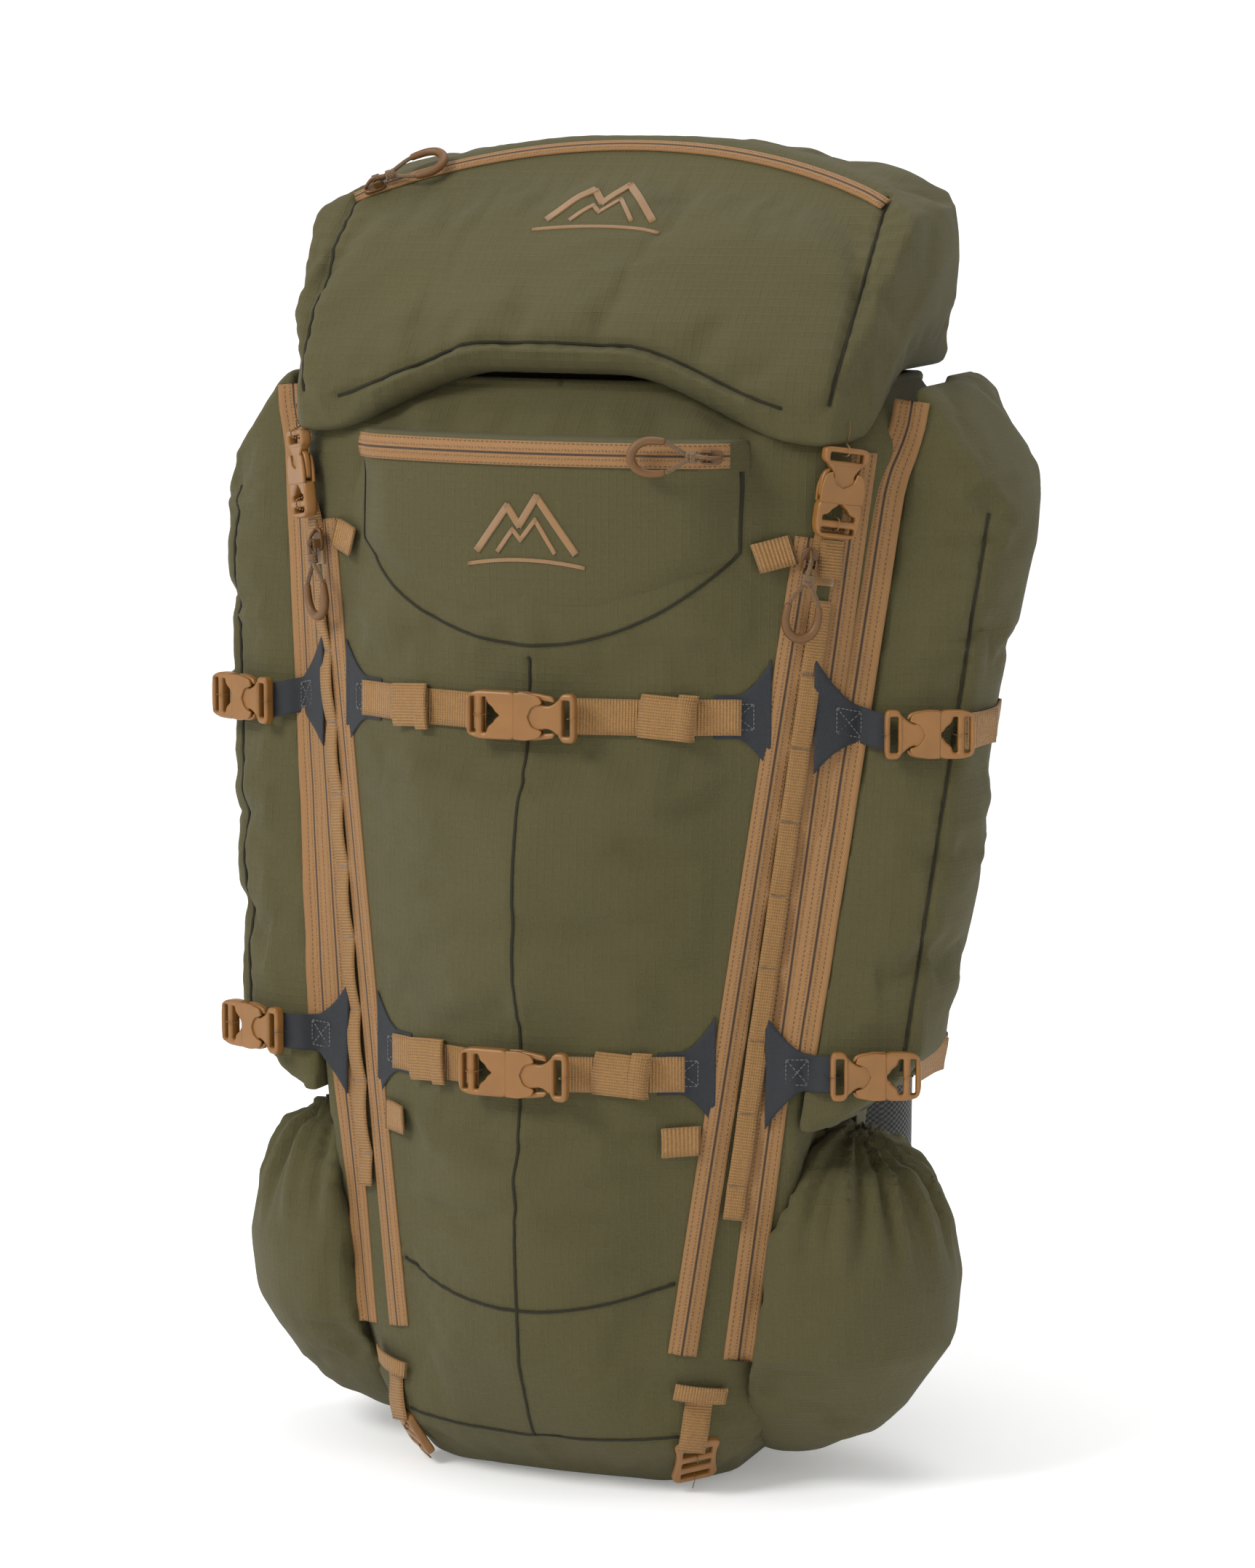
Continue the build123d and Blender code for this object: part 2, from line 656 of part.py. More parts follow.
SLIDER_GAP = 0.4
CORNER_SLIDER_Z = 670.0
down = (Vector(*seam(FRONT_ZIP, 300), 300) - Vector(*seam(FRONT_ZIP, 600), 600)).normalized()
corner, before, after = (section(CORNER_SLIDER_Z)[i] for i in (2, 1, 3))
bisector = (Vector(*corner) - Vector(*before)).normalized() + (Vector(*after) - Vector(*corner)).normalized()
face_out = Vector(bisector.Y, -bisector.X, 0).normalized()
face_out = (face_out - down * face_out.dot(down)).normalized()
corner_origin = Vector(*seam(FRONT_ZIP, CORNER_SLIDER_Z), CORNER_SLIDER_Z)
corner_plane = Plane(
    origin=corner_origin + face_out * (ZIP_LIFT + ZIP_THICK + 1.2 + SLIDER_GAP), x_dir=down, z_dir=face_out
)
save_slider("corner_right", corner_plane)
left_plane = Plane(
    origin=(-corner_plane.origin.X, corner_plane.origin.Y, corner_plane.origin.Z),
    x_dir=(-down.X, down.Y, down.Z), z_dir=(-face_out.X, face_out.Y, face_out.Z),
)
save_slider("corner_left", left_plane)

FRONT_SLIDER_ANGLE = 18.6  # degrees right of the pocket's middle, about the centre of its curve
turn = math.radians(FRONT_SLIDER_ANGLE)
front_out = (math.sin(turn), -math.cos(turn), 0)
front_reach = FRONT_R + 0.6 + ZIP_THICK + SLIDER_GAP
front_plane = Plane(
    origin=(front_out[0] * front_reach, FRONT_CENTRE + front_out[1] * front_reach, POCKET_HIGH - 10),
    x_dir=(-math.cos(turn), -math.sin(turn), 0), z_dir=front_out,
)
save_slider("front_pocket", front_plane)

LID_SLIDER_ANGLE = 28.2  # degrees left of the top of the lid's arch
turn = math.radians(LID_SLIDER_ANGLE)
lid_spot = lid_front.from_local_coords(
    Vector(-ARCH_R * math.sin(turn), ARCH_CENTRE + ARCH_R * math.cos(turn), 0.6 + ZIP_THICK + SLIDER_GAP)
)
towards_top = lid_front.from_local_coords(Vector(math.cos(turn), math.sin(turn), 0)) - lid_front.origin
lid_slider_plane = Plane(origin=lid_spot, x_dir=towards_top, z_dir=lid_front.z_dir)
save_slider("lid", lid_slider_plane)

# ---------------------------------------------------------------- ladder locks at the bottom corners
LOCK_LONG, LOCK_WIDE, LOCK_THICK = 40.0, 34.0, 6.0
lock_low, lock_high = strip_middle(16.0), strip_middle(44.0)
lock_plane = buckle_plane(lock_low, lock_high, 8.0)

with BuildPart() as lock:
    with BuildSketch():
        RectangleRounded(LOCK_LONG, LOCK_WIDE, 5)
        with Locations((-14, 0), (2, 0), (13, 0)):
            Rectangle(5, WEB_NARROW + 1.5, mode=Mode.SUBTRACT)
    extrude(amount=LOCK_THICK / 2, both=True)
save(placed(lock.part, lock_plane), "ladder_lock_right")
save(left_of(placed(lock.part, lock_plane)), "ladder_lock_left")

with BuildPart() as bottom_webs:
    with BuildSketch(buckle_plane(lock_low, lock_high, 1.0)):
        with Locations((12, 0)):
            Rectangle(62, WEB_NARROW)
    extrude(amount=WEB_THICK)
save(pair(bottom_webs.part), "bottom_webs")

# ---------------------------------------------------------------- frame and harness on the wearer's side
SHEET_THICK, STAY_THICK, PAD_THICK = 2.0, 3.0, 16.0
BACK_FACE = BACK_Y + 0.3


def slab(half_width, low, high, start, thick, x=0.0, radius=20.0):
    """A rounded upright slab on the wearer's side, from y = start towards the wearer."""
    with BuildPart() as piece:
        with BuildSketch(Plane.XZ.offset(-start - thick)):
            with Locations((x, (low + high) / 2)):
                RectangleRounded(2 * half_width, high - low, radius)
        extrude(amount=thick)
    return piece.part


save(slab(130, 70, 760, BACK_FACE, SHEET_THICK), "frame_sheet")
stay_y = BACK_FACE + SHEET_THICK
save(pair(slab(7.5, 90, 745, stay_y, STAY_THICK, 70, 3)), "frame_stays")
PAD_Y = stay_y + STAY_THICK + 0.2
with BuildPart() as back_pad:
    add(slab(118, 305, 735, PAD_Y, PAD_THICK, 0, 40))
    with BuildSketch(Plane.XZ.offset(-PAD_Y - 6)):
        with Locations((0, 520)):
            RectangleRounded(46, 500, 20)
    extrude(amount=-20, mode=Mode.SUBTRACT)
save(back_pad.part, "back_pad")
PAD_FACE = PAD_Y + PAD_THICK
LUMBAR_THICK = 20.0
save(slab(112, 150, 298, PAD_Y, LUMBAR_THICK, 0, 40), "lumbar_pad")

STRAP_X, STRAP_WIDE = 78.0, 62.0
# Side profiles of the harness: how far each point stands off the back pad's face, and its height.
STRAP_STAND = [(4.5, 712.0), (26.5, 728.0), (63.5, 700.0), (84.5, 600.0), (74.5, 480.0), (38.5, 375.0)]
WEB_STAND = [(37.5, 372.0), (18.5, 330.0), (4.5, 240.0), (-15.0, 130.0)]
LIFTER_STAND = [(-13.5, 776.0), (64.5, 716.0)]
HAUL_STAND = [(-16.0, 783.0), (1.5, 780.0), (8.5, 762.0), (1.5, 744.0), (-16.0, 741.0)]


def off_pad(stand):
    return [(PAD_FACE + out, z) for out, z in stand]



def strap_solid(profile, thick, x, width):
    """A band that follows a side profile of (y, z) points and is as wide as given in x."""
    with BuildPart() as piece:
        with BuildSketch(Plane.YZ.offset(x - width / 2)):
            with BuildLine():
                Polyline(*band_outline(profile, 0, thick), close=True)
            make_face()
        extrude(amount=width)
    return piece.part


save(pair(strap_solid(off_pad(STRAP_STAND), 12, STRAP_X, STRAP_WIDE)), "shoulder_straps")
save(strap_solid(off_pad(HAUL_STAND), 3, 0, 84), "haul_loop")
save(pair(strap_solid(off_pad(WEB_STAND), WEB_THICK, 136, WEB_NARROW)), "shoulder_webs")
save(pair(strap_solid(off_pad(LIFTER_STAND), WEB_THICK, STRAP_X, WEB_NARROW)), "load_lifters")

STERNUM_Z, STERNUM_Y = 560.0, PAD_FACE + 98.5
with BuildPart() as sternum_web:
    with BuildSketch(Plane.XY.offset(STERNUM_Z - WEB_NARROW / 2)):
        with Locations((0, STERNUM_Y)):
            Rectangle(2 * STRAP_X + 20, WEB_THICK)
    extrude(amount=WEB_NARROW)
save(sternum_web.part, "sternum_web")
STERNUM_SCALE = 0.8  # of the front straps' buckles
sternum_plane = Plane(
    origin=(0, STERNUM_Y + 2 + STERNUM_SCALE * BUCKLE_THICK / 2, STERNUM_Z), x_dir=(1, 0, 0), z_dir=(0, 1, 0)
)
save(placed(scale(long_socket, by=STERNUM_SCALE), sternum_plane), "sternum_socket")
save(placed(scale(long_clip, by=STERNUM_SCALE), sternum_plane), "sternum_clip")

BELT_X, BELT_Y, BELT_THICK = 160.0, 66.0, 14.0
BELT_CENTRE = PAD_Y + LUMBAR_THICK + BELT_Y + 2.1
BELT_LOW, BELT_HIGH = 176.0, 282.0
BELT_END = 92.0  # where the padded wings stop and the web goes on

with BuildPart() as hip_belt:
    with BuildSketch(Plane.XY.offset(BELT_LOW)):
        with Locations((0, BELT_CENTRE)):
            Ellipse(BELT_X, BELT_Y)
            Ellipse(BELT_X - BELT_THICK, BELT_Y - BELT_THICK, mode=Mode.SUBTRACT)
        with Locations((0, BELT_CENTRE + 50)):
            Rectangle(2 * BELT_END, 100, mode=Mode.SUBTRACT)
    extrude(amount=BELT_HIGH - BELT_LOW)
save(hip_belt.part, "hip_belt")

with BuildPart() as hip_web:
    with BuildSketch(Plane.XY.offset(229 - 19)):
        with Locations((0, BELT_CENTRE)):
            Ellipse(BELT_X - 6, BELT_Y - 6)
            Ellipse(BELT_X - 8, BELT_Y - 8, mode=Mode.SUBTRACT)
        with Locations((0, BELT_CENTRE + 50)):
            Rectangle(2 * BELT_END - 0.4, 100, mode=Mode.INTERSECT)
    extrude(amount=38)
save(hip_web.part, "hip_web")
HIP_SCALE = 1.45
hip_plane = Plane(
    origin=(0, BELT_CENTRE + BELT_Y - 6 + 0.7 + HIP_SCALE * BUCKLE_THICK / 2, 229), x_dir=(1, 0, 0), z_dir=(0, 1, 0)
)
save(placed(scale(long_socket, by=HIP_SCALE), hip_plane), "hip_socket")
save(placed(scale(long_clip, by=HIP_SCALE), hip_plane), "hip_clip")
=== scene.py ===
"""The looks of a large hunting backpack: stuffed cloth, zips, webbing, buckles and a padded harness."""

import json
import math

import bmesh
import bpy
import numpy as np
from mathutils import Matrix, Vector, noise
from mathutils.bvhtree import BVHTree


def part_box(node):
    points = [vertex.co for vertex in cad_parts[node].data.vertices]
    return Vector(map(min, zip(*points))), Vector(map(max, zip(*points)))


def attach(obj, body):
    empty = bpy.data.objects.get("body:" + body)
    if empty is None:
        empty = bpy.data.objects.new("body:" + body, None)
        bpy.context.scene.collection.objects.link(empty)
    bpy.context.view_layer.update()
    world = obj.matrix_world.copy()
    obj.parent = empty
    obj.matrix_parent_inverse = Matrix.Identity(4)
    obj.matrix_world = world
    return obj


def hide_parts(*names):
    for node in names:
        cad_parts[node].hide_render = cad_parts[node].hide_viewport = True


bl_info = {
    "name": "Hunting Backpack",
    "version": (1, 0, 0),
    "blender": (4, 5, 0),
    "location": "View3D > Sidebar > Backpack",
    "description": "Builds the soft goods, webbing and hardware of a hunting backpack round its frame",
    "category": "Add Mesh",
}

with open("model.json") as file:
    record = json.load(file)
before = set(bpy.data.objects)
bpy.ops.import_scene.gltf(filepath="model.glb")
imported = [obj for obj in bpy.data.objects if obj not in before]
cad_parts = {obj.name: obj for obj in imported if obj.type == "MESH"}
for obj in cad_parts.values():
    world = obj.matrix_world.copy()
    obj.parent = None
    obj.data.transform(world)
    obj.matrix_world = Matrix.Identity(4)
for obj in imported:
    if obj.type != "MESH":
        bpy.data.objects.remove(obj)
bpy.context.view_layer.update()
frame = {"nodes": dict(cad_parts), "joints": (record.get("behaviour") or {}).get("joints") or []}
NODES = frame["nodes"]

# Seams that the pack shares with its frame, right-hand side: a point and its lean per metre of height.
FRONT_ZIP = (Vector((0.109, -0.125, 0.104)), Vector((0.1302, 0.0816, 1.0)))
GUSSET_ZIP = (Vector((0.138, -0.107, 0.084)), Vector((0.1084, 0.0798, 1.0)))
POCKET_ZIP = (Vector((0.191, -0.090, 0.330)), Vector((0.1057, 0.163, 1.0)))
UPPER_STRAP = 0.560
LOWER_STRAP = 0.310
SIDE_STRAPS = {"upper": UPPER_STRAP - 0.012, "lower": LOWER_STRAP + 0.002}
WEB = 0.025
MM = 0.001
UP = Vector((0, 0, 1))
AHEAD = Vector((0, -1, 0))
SIDES = ((1, "right"), (-1, "left"))


def word_of(side):
    return dict(SIDES)[side]


# ---------------------------------------------------------------- settings
def colour(name, description, default):
    """A colour that the user can change."""
    return bpy.props.FloatVectorProperty(
        name=name, description=description, default=default, subtype="COLOR", size=3, min=0.0, max=1.0
    )


class BackpackColours(bpy.types.PropertyGroup):
    """The colours of the pack's cloths, webbing and plastics."""

    cloth: colour("Pack cloth", "Olive ripstop of the shells", (0.0585, 0.0500, 0.0135))
    patch: colour("Patches", "Charcoal cloth under the straps", (0.010, 0.0115, 0.015))
    webbing: colour("Webbing", "Tan webbing of the straps", (0.275, 0.138, 0.036))
    tape: colour("Zip tape", "Tan tape of the zips", (0.290, 0.142, 0.042))
    acetal: colour("Buckles", "Brown moulded buckles and grips", (0.215, 0.094, 0.020))
    thread: colour("Embroidery", "Gold thread of the marks", (0.330, 0.160, 0.040))
    lining: colour("Lining", "Inside of the main bag", (0.260, 0.200, 0.120))
    mesh: colour("Harness mesh", "Dark mesh of the harness", (0.022, 0.023, 0.022))


class BackpackSizes(bpy.types.PropertyGroup):
    """Sizes that set how full and how finely sewn the pack looks."""

    voxel: bpy.props.FloatProperty(
        name="Cloth grain", description="Size of the simulated cloth's cells", default=0.0075, min=0.004,
        max=0.02, unit="LENGTH",
    )
    pressure: bpy.props.FloatProperty(
        name="Stuffing", description="How hard the stuffing pushes on the cloth", default=4.0, min=0.0,
        max=20.0,
    )
    slack: bpy.props.FloatProperty(
        name="Slack", description="How much larger the cloth was cut than the shape it wraps", default=0.05,
        min=0.0, max=0.2, subtype="FACTOR",
    )
    ripstop: bpy.props.FloatProperty(
        name="Ripstop", description="Distance between the ripstop's thick threads", default=0.0055, min=0.002,
        max=0.02, unit="LENGTH",
    )
    stitch: bpy.props.FloatProperty(
        name="Stitch", description="Length of one stitch", default=0.0032, min=0.001, max=0.01, unit="LENGTH"
    )
    camera_lens: bpy.props.FloatProperty(
        name="Lens", description="Focal length of the camera in millimetres", default=113.8, min=20.0,
        max=300.0,
    )


def colours():
    return bpy.context.scene.backpack_colours


def sizes():
    return bpy.context.scene.backpack_sizes


# ---------------------------------------------------------------- material kit
class Recipe:
    """Builds one material's nodes from left to right."""

    def __init__(self, name, base, roughness):
        self.material = bpy.data.materials.new(name)
        self.material.use_nodes = True
        self.tree = self.material.node_tree
        self.shader = self.tree.nodes["Principled BSDF"]
        self.shader.inputs["Base Color"].default_value = (*base, 1.0)
        self.shader.inputs["Roughness"].default_value = roughness

    def node(self, kind, **settings):
        made = self.tree.nodes.new(kind)
        for key, value in settings.items():
            setattr(made, key, value)
        return made

    def join(self, source, target):
        self.tree.links.new(source, target)

    def math(self, operation, first, second=None, third=None, clamp=False):
        made = self.node("ShaderNodeMath", operation=operation, use_clamp=clamp)
        for socket, value in zip(made.inputs, (first, second, third)):
            if value is None:
                continue
            if isinstance(value, (int, float)):
                socket.default_value = value
            else:
                self.join(value, socket)
        return made.outputs[0]

    def across(self):
        """The piece's own flat coordinates in metres: along it, and across it."""
        split = self.node("ShaderNodeSeparateXYZ")
        self.join(self.node("ShaderNodeUVMap", uv_map="UVMap").outputs[0], split.inputs[0])
        return split.outputs[0], split.outputs[1]

    def object_noise(self, scale, detail=2.0, stretch=(1.0, 1.0, 1.0)):
        place = self.node("ShaderNodeMapping")
        place.inputs["Scale"].default_value = stretch
        self.join(self.node("ShaderNodeTexCoord").outputs["Object"], place.inputs[0])
        made = self.node("ShaderNodeTexNoise")
        made.inputs["Scale"].default_value = scale
        made.inputs["Detail"].default_value = detail
        self.join(place.outputs[0], made.inputs["Vector"])
        return made.outputs["Fac"]

    def line(self, distance, width):
        """1 where the distance is 0, falling to 0 where it reaches the width."""
        return self.math("SUBTRACT", 1.0, self.math("DIVIDE", distance, width), clamp=True)

    def stripes(self, coordinate, period, width):
        """1 on thin lines that repeat every period, 0 between them, with soft edges."""
        return self.line(self.math("PINGPONG", coordinate, period / 2), width)

    def ripple(self, coordinate, period):
        return self.math("SINE", self.math("MULTIPLY", coordinate, 2 * math.pi / period))

    def weave(self, u, v, period):
        return self.math("MULTIPLY", self.ripple(u, period), self.ripple(v, period))

    def tint(self, factor, dark, light):
        """Base colour that runs from dark to light with the factor."""
        ramp = self.node("ShaderNodeMix", data_type="RGBA")
        ramp.inputs["A"].default_value = (*dark, 1.0)
        ramp.inputs["B"].default_value = (*light, 1.0)
        self.join(factor, ramp.inputs["Factor"])
        return ramp.outputs["Result"]

    def paint(self, result):
        self.join(result, self.shader.inputs["Base Color"])

    def bump(self, height, distance, strength=1.0, below=None):
        made = self.node("ShaderNodeBump")
        made.inputs["Distance"].default_value = distance
        made.inputs["Strength"].default_value = strength
        self.join(height, made.inputs["Height"])
        if below is not None:
            self.join(below, made.inputs["Normal"])
        return made.outputs["Normal"]

    def relief(self, normal):
        self.join(normal, self.shader.inputs["Normal"])

    def fuzz(self, weight, roughness=0.5):
        self.shader.inputs["Sheen Weight"].default_value = weight
        self.shader.inputs["Sheen Roughness"].default_value = roughness


def shade(base, factor):
    return tuple(min(1.0, c * factor) for c in base)


def ripstop_cloth(name, base, sheen=0.02):
    """Matt melange cloth with a fine weave and a grid of thicker threads."""
    recipe = Recipe(name, base, 0.86)
    u, v = recipe.across()
    grid = sizes().ripstop
    threads = recipe.math("MAXIMUM", recipe.stripes(u, grid, 0.00055), recipe.stripes(v, grid, 0.00055))
    weave = recipe.weave(u, v, 0.0011)
    melange = recipe.object_noise(1400.0, 1.0, (1.0, 1.0, 0.35))
    patches = recipe.object_noise(9.0, 3.0)
    fine = recipe.math("MULTIPLY_ADD", melange, 0.7, recipe.math("MULTIPLY", patches, 0.35))
    paler = recipe.math("ADD", fine, recipe.math("MULTIPLY", threads, 0.22), clamp=True)
    recipe.paint(recipe.tint(paler, shade(base, 0.60), shade(base, 1.55)))
    deep = recipe.bump(threads, 0.00030)
    recipe.relief(recipe.bump(weave, 0.00012, below=deep))
    recipe.fuzz(sheen)
    return recipe.material


def plain_cloth(name, base, roughness=0.8, sheen=0.1):
    """Hard-wearing plain weave."""
    recipe = Recipe(name, base, roughness)
    u, v = recipe.across()
    recipe.paint(recipe.tint(recipe.object_noise(700.0, 2.0), shade(base, 0.75), shade(base, 1.4)))
    recipe.relief(recipe.bump(recipe.weave(u, v, 0.0016), 0.00015))
    recipe.fuzz(sheen)
    return recipe.material


def webbing_cloth(name, base):
    """Ribbed nylon webbing with firm edges."""
    recipe = Recipe(name, base, 0.62)
    u, v = recipe.across()
    ribs = recipe.ripple(u, 0.0021)
    cords = recipe.ripple(v, 0.0017)
    wave = recipe.math("MULTIPLY_ADD", cords, 0.5, ribs)
    worn = recipe.object_noise(420.0, 3.0)
    tone = recipe.math("MULTIPLY_ADD", ribs, 0.22, recipe.math("MULTIPLY_ADD", worn, 0.5, 0.25))
    recipe.paint(recipe.tint(tone, shade(base, 0.58), shade(base, 1.36)))
    recipe.relief(recipe.bump(wave, 0.00034))
    recipe.fuzz(0.05)
    return recipe.material


# How far a zip's coil and its stitches are from its middle.
ZIP_COIL_AT = 0.0030
ZIP_SEWN_AT = 0.0072


def zip_tape(name, base):
    """Zip tape with a herringbone weave, painted shadow down its closed middle, two rows of coil and two rows
    of stitches.
    """
    recipe = Recipe(name, base, 0.66)
    u, v = recipe.across()
    side = recipe.math("ABSOLUTE", v)
    # The dark line down the middle is painted shadow in the slit where the two tapes meet.
    middle = recipe.line(side, 0.0011)
    coil = recipe.line(recipe.math("ABSOLUTE", recipe.math("SUBTRACT", side, ZIP_COIL_AT)), 0.0011)
    beads = recipe.math("MULTIPLY", coil, recipe.math("MULTIPLY_ADD", recipe.ripple(u, 0.0024), 0.5, 0.5))
    sewn = recipe.line(recipe.math("ABSOLUTE", recipe.math("SUBTRACT", side, ZIP_SEWN_AT)), 0.0006)
    dashes = recipe.math("MULTIPLY", sewn, recipe.math("GREATER_THAN", recipe.ripple(u, 0.0034), -0.35))
    bones = recipe.ripple(recipe.math("ADD", u, side), 0.0019)
    # dark holds the painted shadow of that slit and the darker rows of stitches.
    dark = recipe.math("ADD", recipe.math("MULTIPLY", middle, 1.2), recipe.math("MULTIPLY", dashes, 0.40))
    tone = recipe.math("SUBTRACT", recipe.math("MULTIPLY_ADD", bones, 0.10, 0.62), dark, clamp=True)
    darker = recipe.math("SUBTRACT", tone, recipe.math("MULTIPLY", beads, 0.30), clamp=True)
    recipe.paint(recipe.tint(darker, shade(base, 0.12), shade(base, 1.30)))
    rows = recipe.math("SUBTRACT", recipe.math("ADD", beads, dashes), middle)
    recipe.relief(recipe.bump(rows, 0.0005, below=recipe.bump(bones, 0.00012)))
    recipe.fuzz(0.04)
    return recipe.material


def moulded_plastic(name, base, roughness=0.38):
    """Moulded acetal with a faint satin grain and rubbed tones."""
    recipe = Recipe(name, base, roughness)
    recipe.paint(recipe.tint(recipe.object_noise(55.0, 3.0), shade(base, 0.82), shade(base, 1.22)))
    recipe.relief(recipe.bump(recipe.object_noise(2600.0, 2.0), 0.00004))
    recipe.shader.inputs["Specular IOR Level"].default_value = 0.45
    return recipe.material


def braided_cord(name, base):
    """Flecked braid: two sets of strands that cross at an angle."""
    recipe = Recipe(name, base, 0.78)
    u, v = recipe.across()
    one = recipe.ripple(recipe.math("ADD", u, v), 0.0020)
    two = recipe.ripple(recipe.math("SUBTRACT", u, v), 0.0020)
    braid = recipe.math("MULTIPLY", one, two)
    raised = recipe.math("MULTIPLY", braid, 0.3)
    flecks = recipe.math("ADD", recipe.object_noise(900.0, 1.0), raised, clamp=True)
    recipe.paint(recipe.tint(flecks, shade(base, 0.45), shade(base, 1.45)))
    recipe.relief(recipe.bump(braid, 0.0004))
    recipe.fuzz(0.2)
    return recipe.material


def satin_thread(name, base):
    """Raised satin stitching: fine parallel threads with a soft shine."""
    recipe = Recipe(name, base, 0.42)
    u, _ = recipe.across()
    threads = recipe.ripple(u, 0.0008)
    tone = recipe.math("MULTIPLY_ADD", threads, 0.3, 0.5)
    recipe.paint(recipe.tint(tone, shade(base, 0.7), shade(base, 1.3)))
    recipe.relief(recipe.bump(threads, 0.0003))
    recipe.fuzz(0.3)
    return recipe.material


def spacer_mesh(name, base):
    """Open mesh over foam: a field of small holes."""
    recipe = Recipe(name, base, 0.85)
    u, v = recipe.across()
    holes = recipe.weave(u, v, 0.0042)
    tone = recipe.math("MULTIPLY_ADD", holes, 0.4, recipe.object_noise(300.0, 2.0))
    recipe.paint(recipe.tint(tone, shade(base, 0.5), shade(base, 2.4)))
    recipe.relief(recipe.bump(holes, 0.0006))
    recipe.fuzz(0.2)
    return recipe.material


def brushed_metal(name, base):
    """Drawn aluminium bar, with streaks that run up it."""
    recipe = Recipe(name, base, 0.35)
    recipe.shader.inputs["Metallic"].default_value = 1.0
    streaks = (1.0, 1.0, 0.02)
    recipe.paint(recipe.tint(recipe.object_noise(60.0, 3.0, streaks), shade(base, 0.8), shade(base, 1.1)))
    recipe.relief(recipe.bump(recipe.object_noise(900.0, 2.0, streaks), 0.00003))
    return recipe.material


MAKERS = {
    "cloth": lambda: ripstop_cloth("pack_cloth", tuple(colours().cloth)),
    "patch": lambda: plain_cloth("patch_cloth", tuple(colours().patch), 0.72, 0.02),
    "webbing": lambda: webbing_cloth("tan_webbing", tuple(colours().webbing)),
    "tape": lambda: zip_tape("zip_tape", tuple(colours().tape)),
    "acetal": lambda: moulded_plastic("brown_acetal", tuple(colours().acetal)),
    "grip": lambda: moulded_plastic("grip_rubber", shade(tuple(colours().acetal), 0.55), 0.5),
    "slider": lambda: moulded_plastic("slider_paint", shade(tuple(colours().acetal), 0.45), 0.35),
    "cord": lambda: braided_cord("pull_cord", shade(tuple(colours().webbing), 0.6)),
    "thread": lambda: satin_thread("gold_thread", tuple(colours().thread)),
    # The stitch key's seam_shadow material is no thread: it is the pack cloth darkened into painted shadow,
    # for the strips along seams and folds.
    "stitch": lambda: plain_cloth("seam_shadow", shade(tuple(colours().cloth), 0.22), 0.95, 0.0),
    "grey_stitch": lambda: satin_thread("grey_stitches", (0.16, 0.16, 0.15)),
    "tan_stitch": lambda: satin_thread("tan_stitches", shade(tuple(colours().webbing), 0.62)),
    "lining": lambda: ripstop_cloth("lining_cloth", tuple(colours().lining), 0.05),
    "mesh": lambda: spacer_mesh("harness_mesh", tuple(colours().mesh)),
    "fleece": lambda: plain_cloth("hook_and_loop", shade(tuple(colours().webbing), 0.7), 0.95, 0.4),
    "sheet": lambda: moulded_plastic("frame_sheet_plastic", (0.012, 0.012, 0.012), 0.5),
    "metal": lambda: brushed_metal("stay_metal", (0.34, 0.35, 0.36)),
}
_made = {}


def material(key):
    """One of the pack's materials, made the first time it is asked for."""
    if key not in _made:
        _made[key] = MAKERS[key]()
    return _made[key]


# ---------------------------------------------------------------- mesh kit
def piece(name, points, faces, key, body, flat=None):
    """A mesh that rides on a body. flat gives each point's own place along and across the piece."""
    mesh = bpy.data.meshes.new(name)
    mesh.from_pydata([tuple(p) for p in points], [], faces)
    if flat is not None:
        layer = mesh.uv_layers.new(name="UVMap")
        for loop in mesh.loops:
            layer.data[loop.index].uv = flat[loop.vertex_index]
    else:
        box_flat(mesh)
    mesh.update()
    made = bpy.data.objects.new(name, mesh)
    bpy.context.scene.collection.objects.link(made)
    finish_piece(made, key, body)
    return made


def finish_piece(made, key, body):
    made.data.materials.clear()
    made.data.materials.append(material(key))
    made.data.polygons.foreach_set("use_smooth", [True] * len(made.data.polygons))
    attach(made, body)


def box_flat(mesh):
    """Flat coordinates in metres, from the direction that each face looks in."""
    layer = mesh.uv_layers.get("UVMap") or mesh.uv_layers.new(name="UVMap")
    count = len(mesh.loops)
    corner = np.zeros(count, np.int32)
    mesh.loops.foreach_get("vertex_index", corner)
    co = np.zeros(len(mesh.vertices) * 3)
    mesh.vertices.foreach_get("co", co)
    co = co.reshape(-1, 3)[corner]
    normals = np.zeros(len(mesh.polygons) * 3)
    mesh.polygons.foreach_get("normal", normals)
    lengths = np.zeros(len(mesh.polygons), np.int32)
    mesh.polygons.foreach_get("loop_total", lengths)
    facing = np.abs(np.repeat(normals.reshape(-1, 3), lengths, axis=0))
    facing[:, 2] *= 0.8
    axis = facing.argmax(axis=1)
    u = np.where(axis == 0, co[:, 1], co[:, 0])
    v = np.where(axis == 2, co[:, 1], co[:, 2])
    layer.data.foreach_set("uv", np.stack([u, v], axis=1).ravel())


def evaluated(obj):
    """The object's mesh with its modifiers applied."""
    graph = bpy.context.evaluated_depsgraph_get()
    graph.update()
    return bpy.data.meshes.new_from_object(obj.evaluated_get(graph), depsgraph=graph)


def apply_all(obj):
    mesh = evaluated(obj)
    old = obj.data
    obj.modifiers.clear()
    obj.data = mesh
    bpy.data.meshes.remove(old)


def coordinates(mesh):
    co = np.zeros(len(mesh.vertices) * 3)
    mesh.vertices.foreach_get("co", co)
    return co.reshape(-1, 3)


def move_to(mesh, co):
    mesh.vertices.foreach_set("co", np.ascontiguousarray(co, dtype=np.float64).ravel())
    mesh.update()


def normals_of(mesh):
    out = np.zeros(len(mesh.vertices) * 3)
    mesh.vertices.foreach_get("normal", out)
    return out.reshape(-1, 3)


def ease(value):
    """The smooth step of one number."""
    return float(smooth_step(np.array(value)))


def node_points(node):
    return np.array([v.co for v in NODES[node].data.vertices])


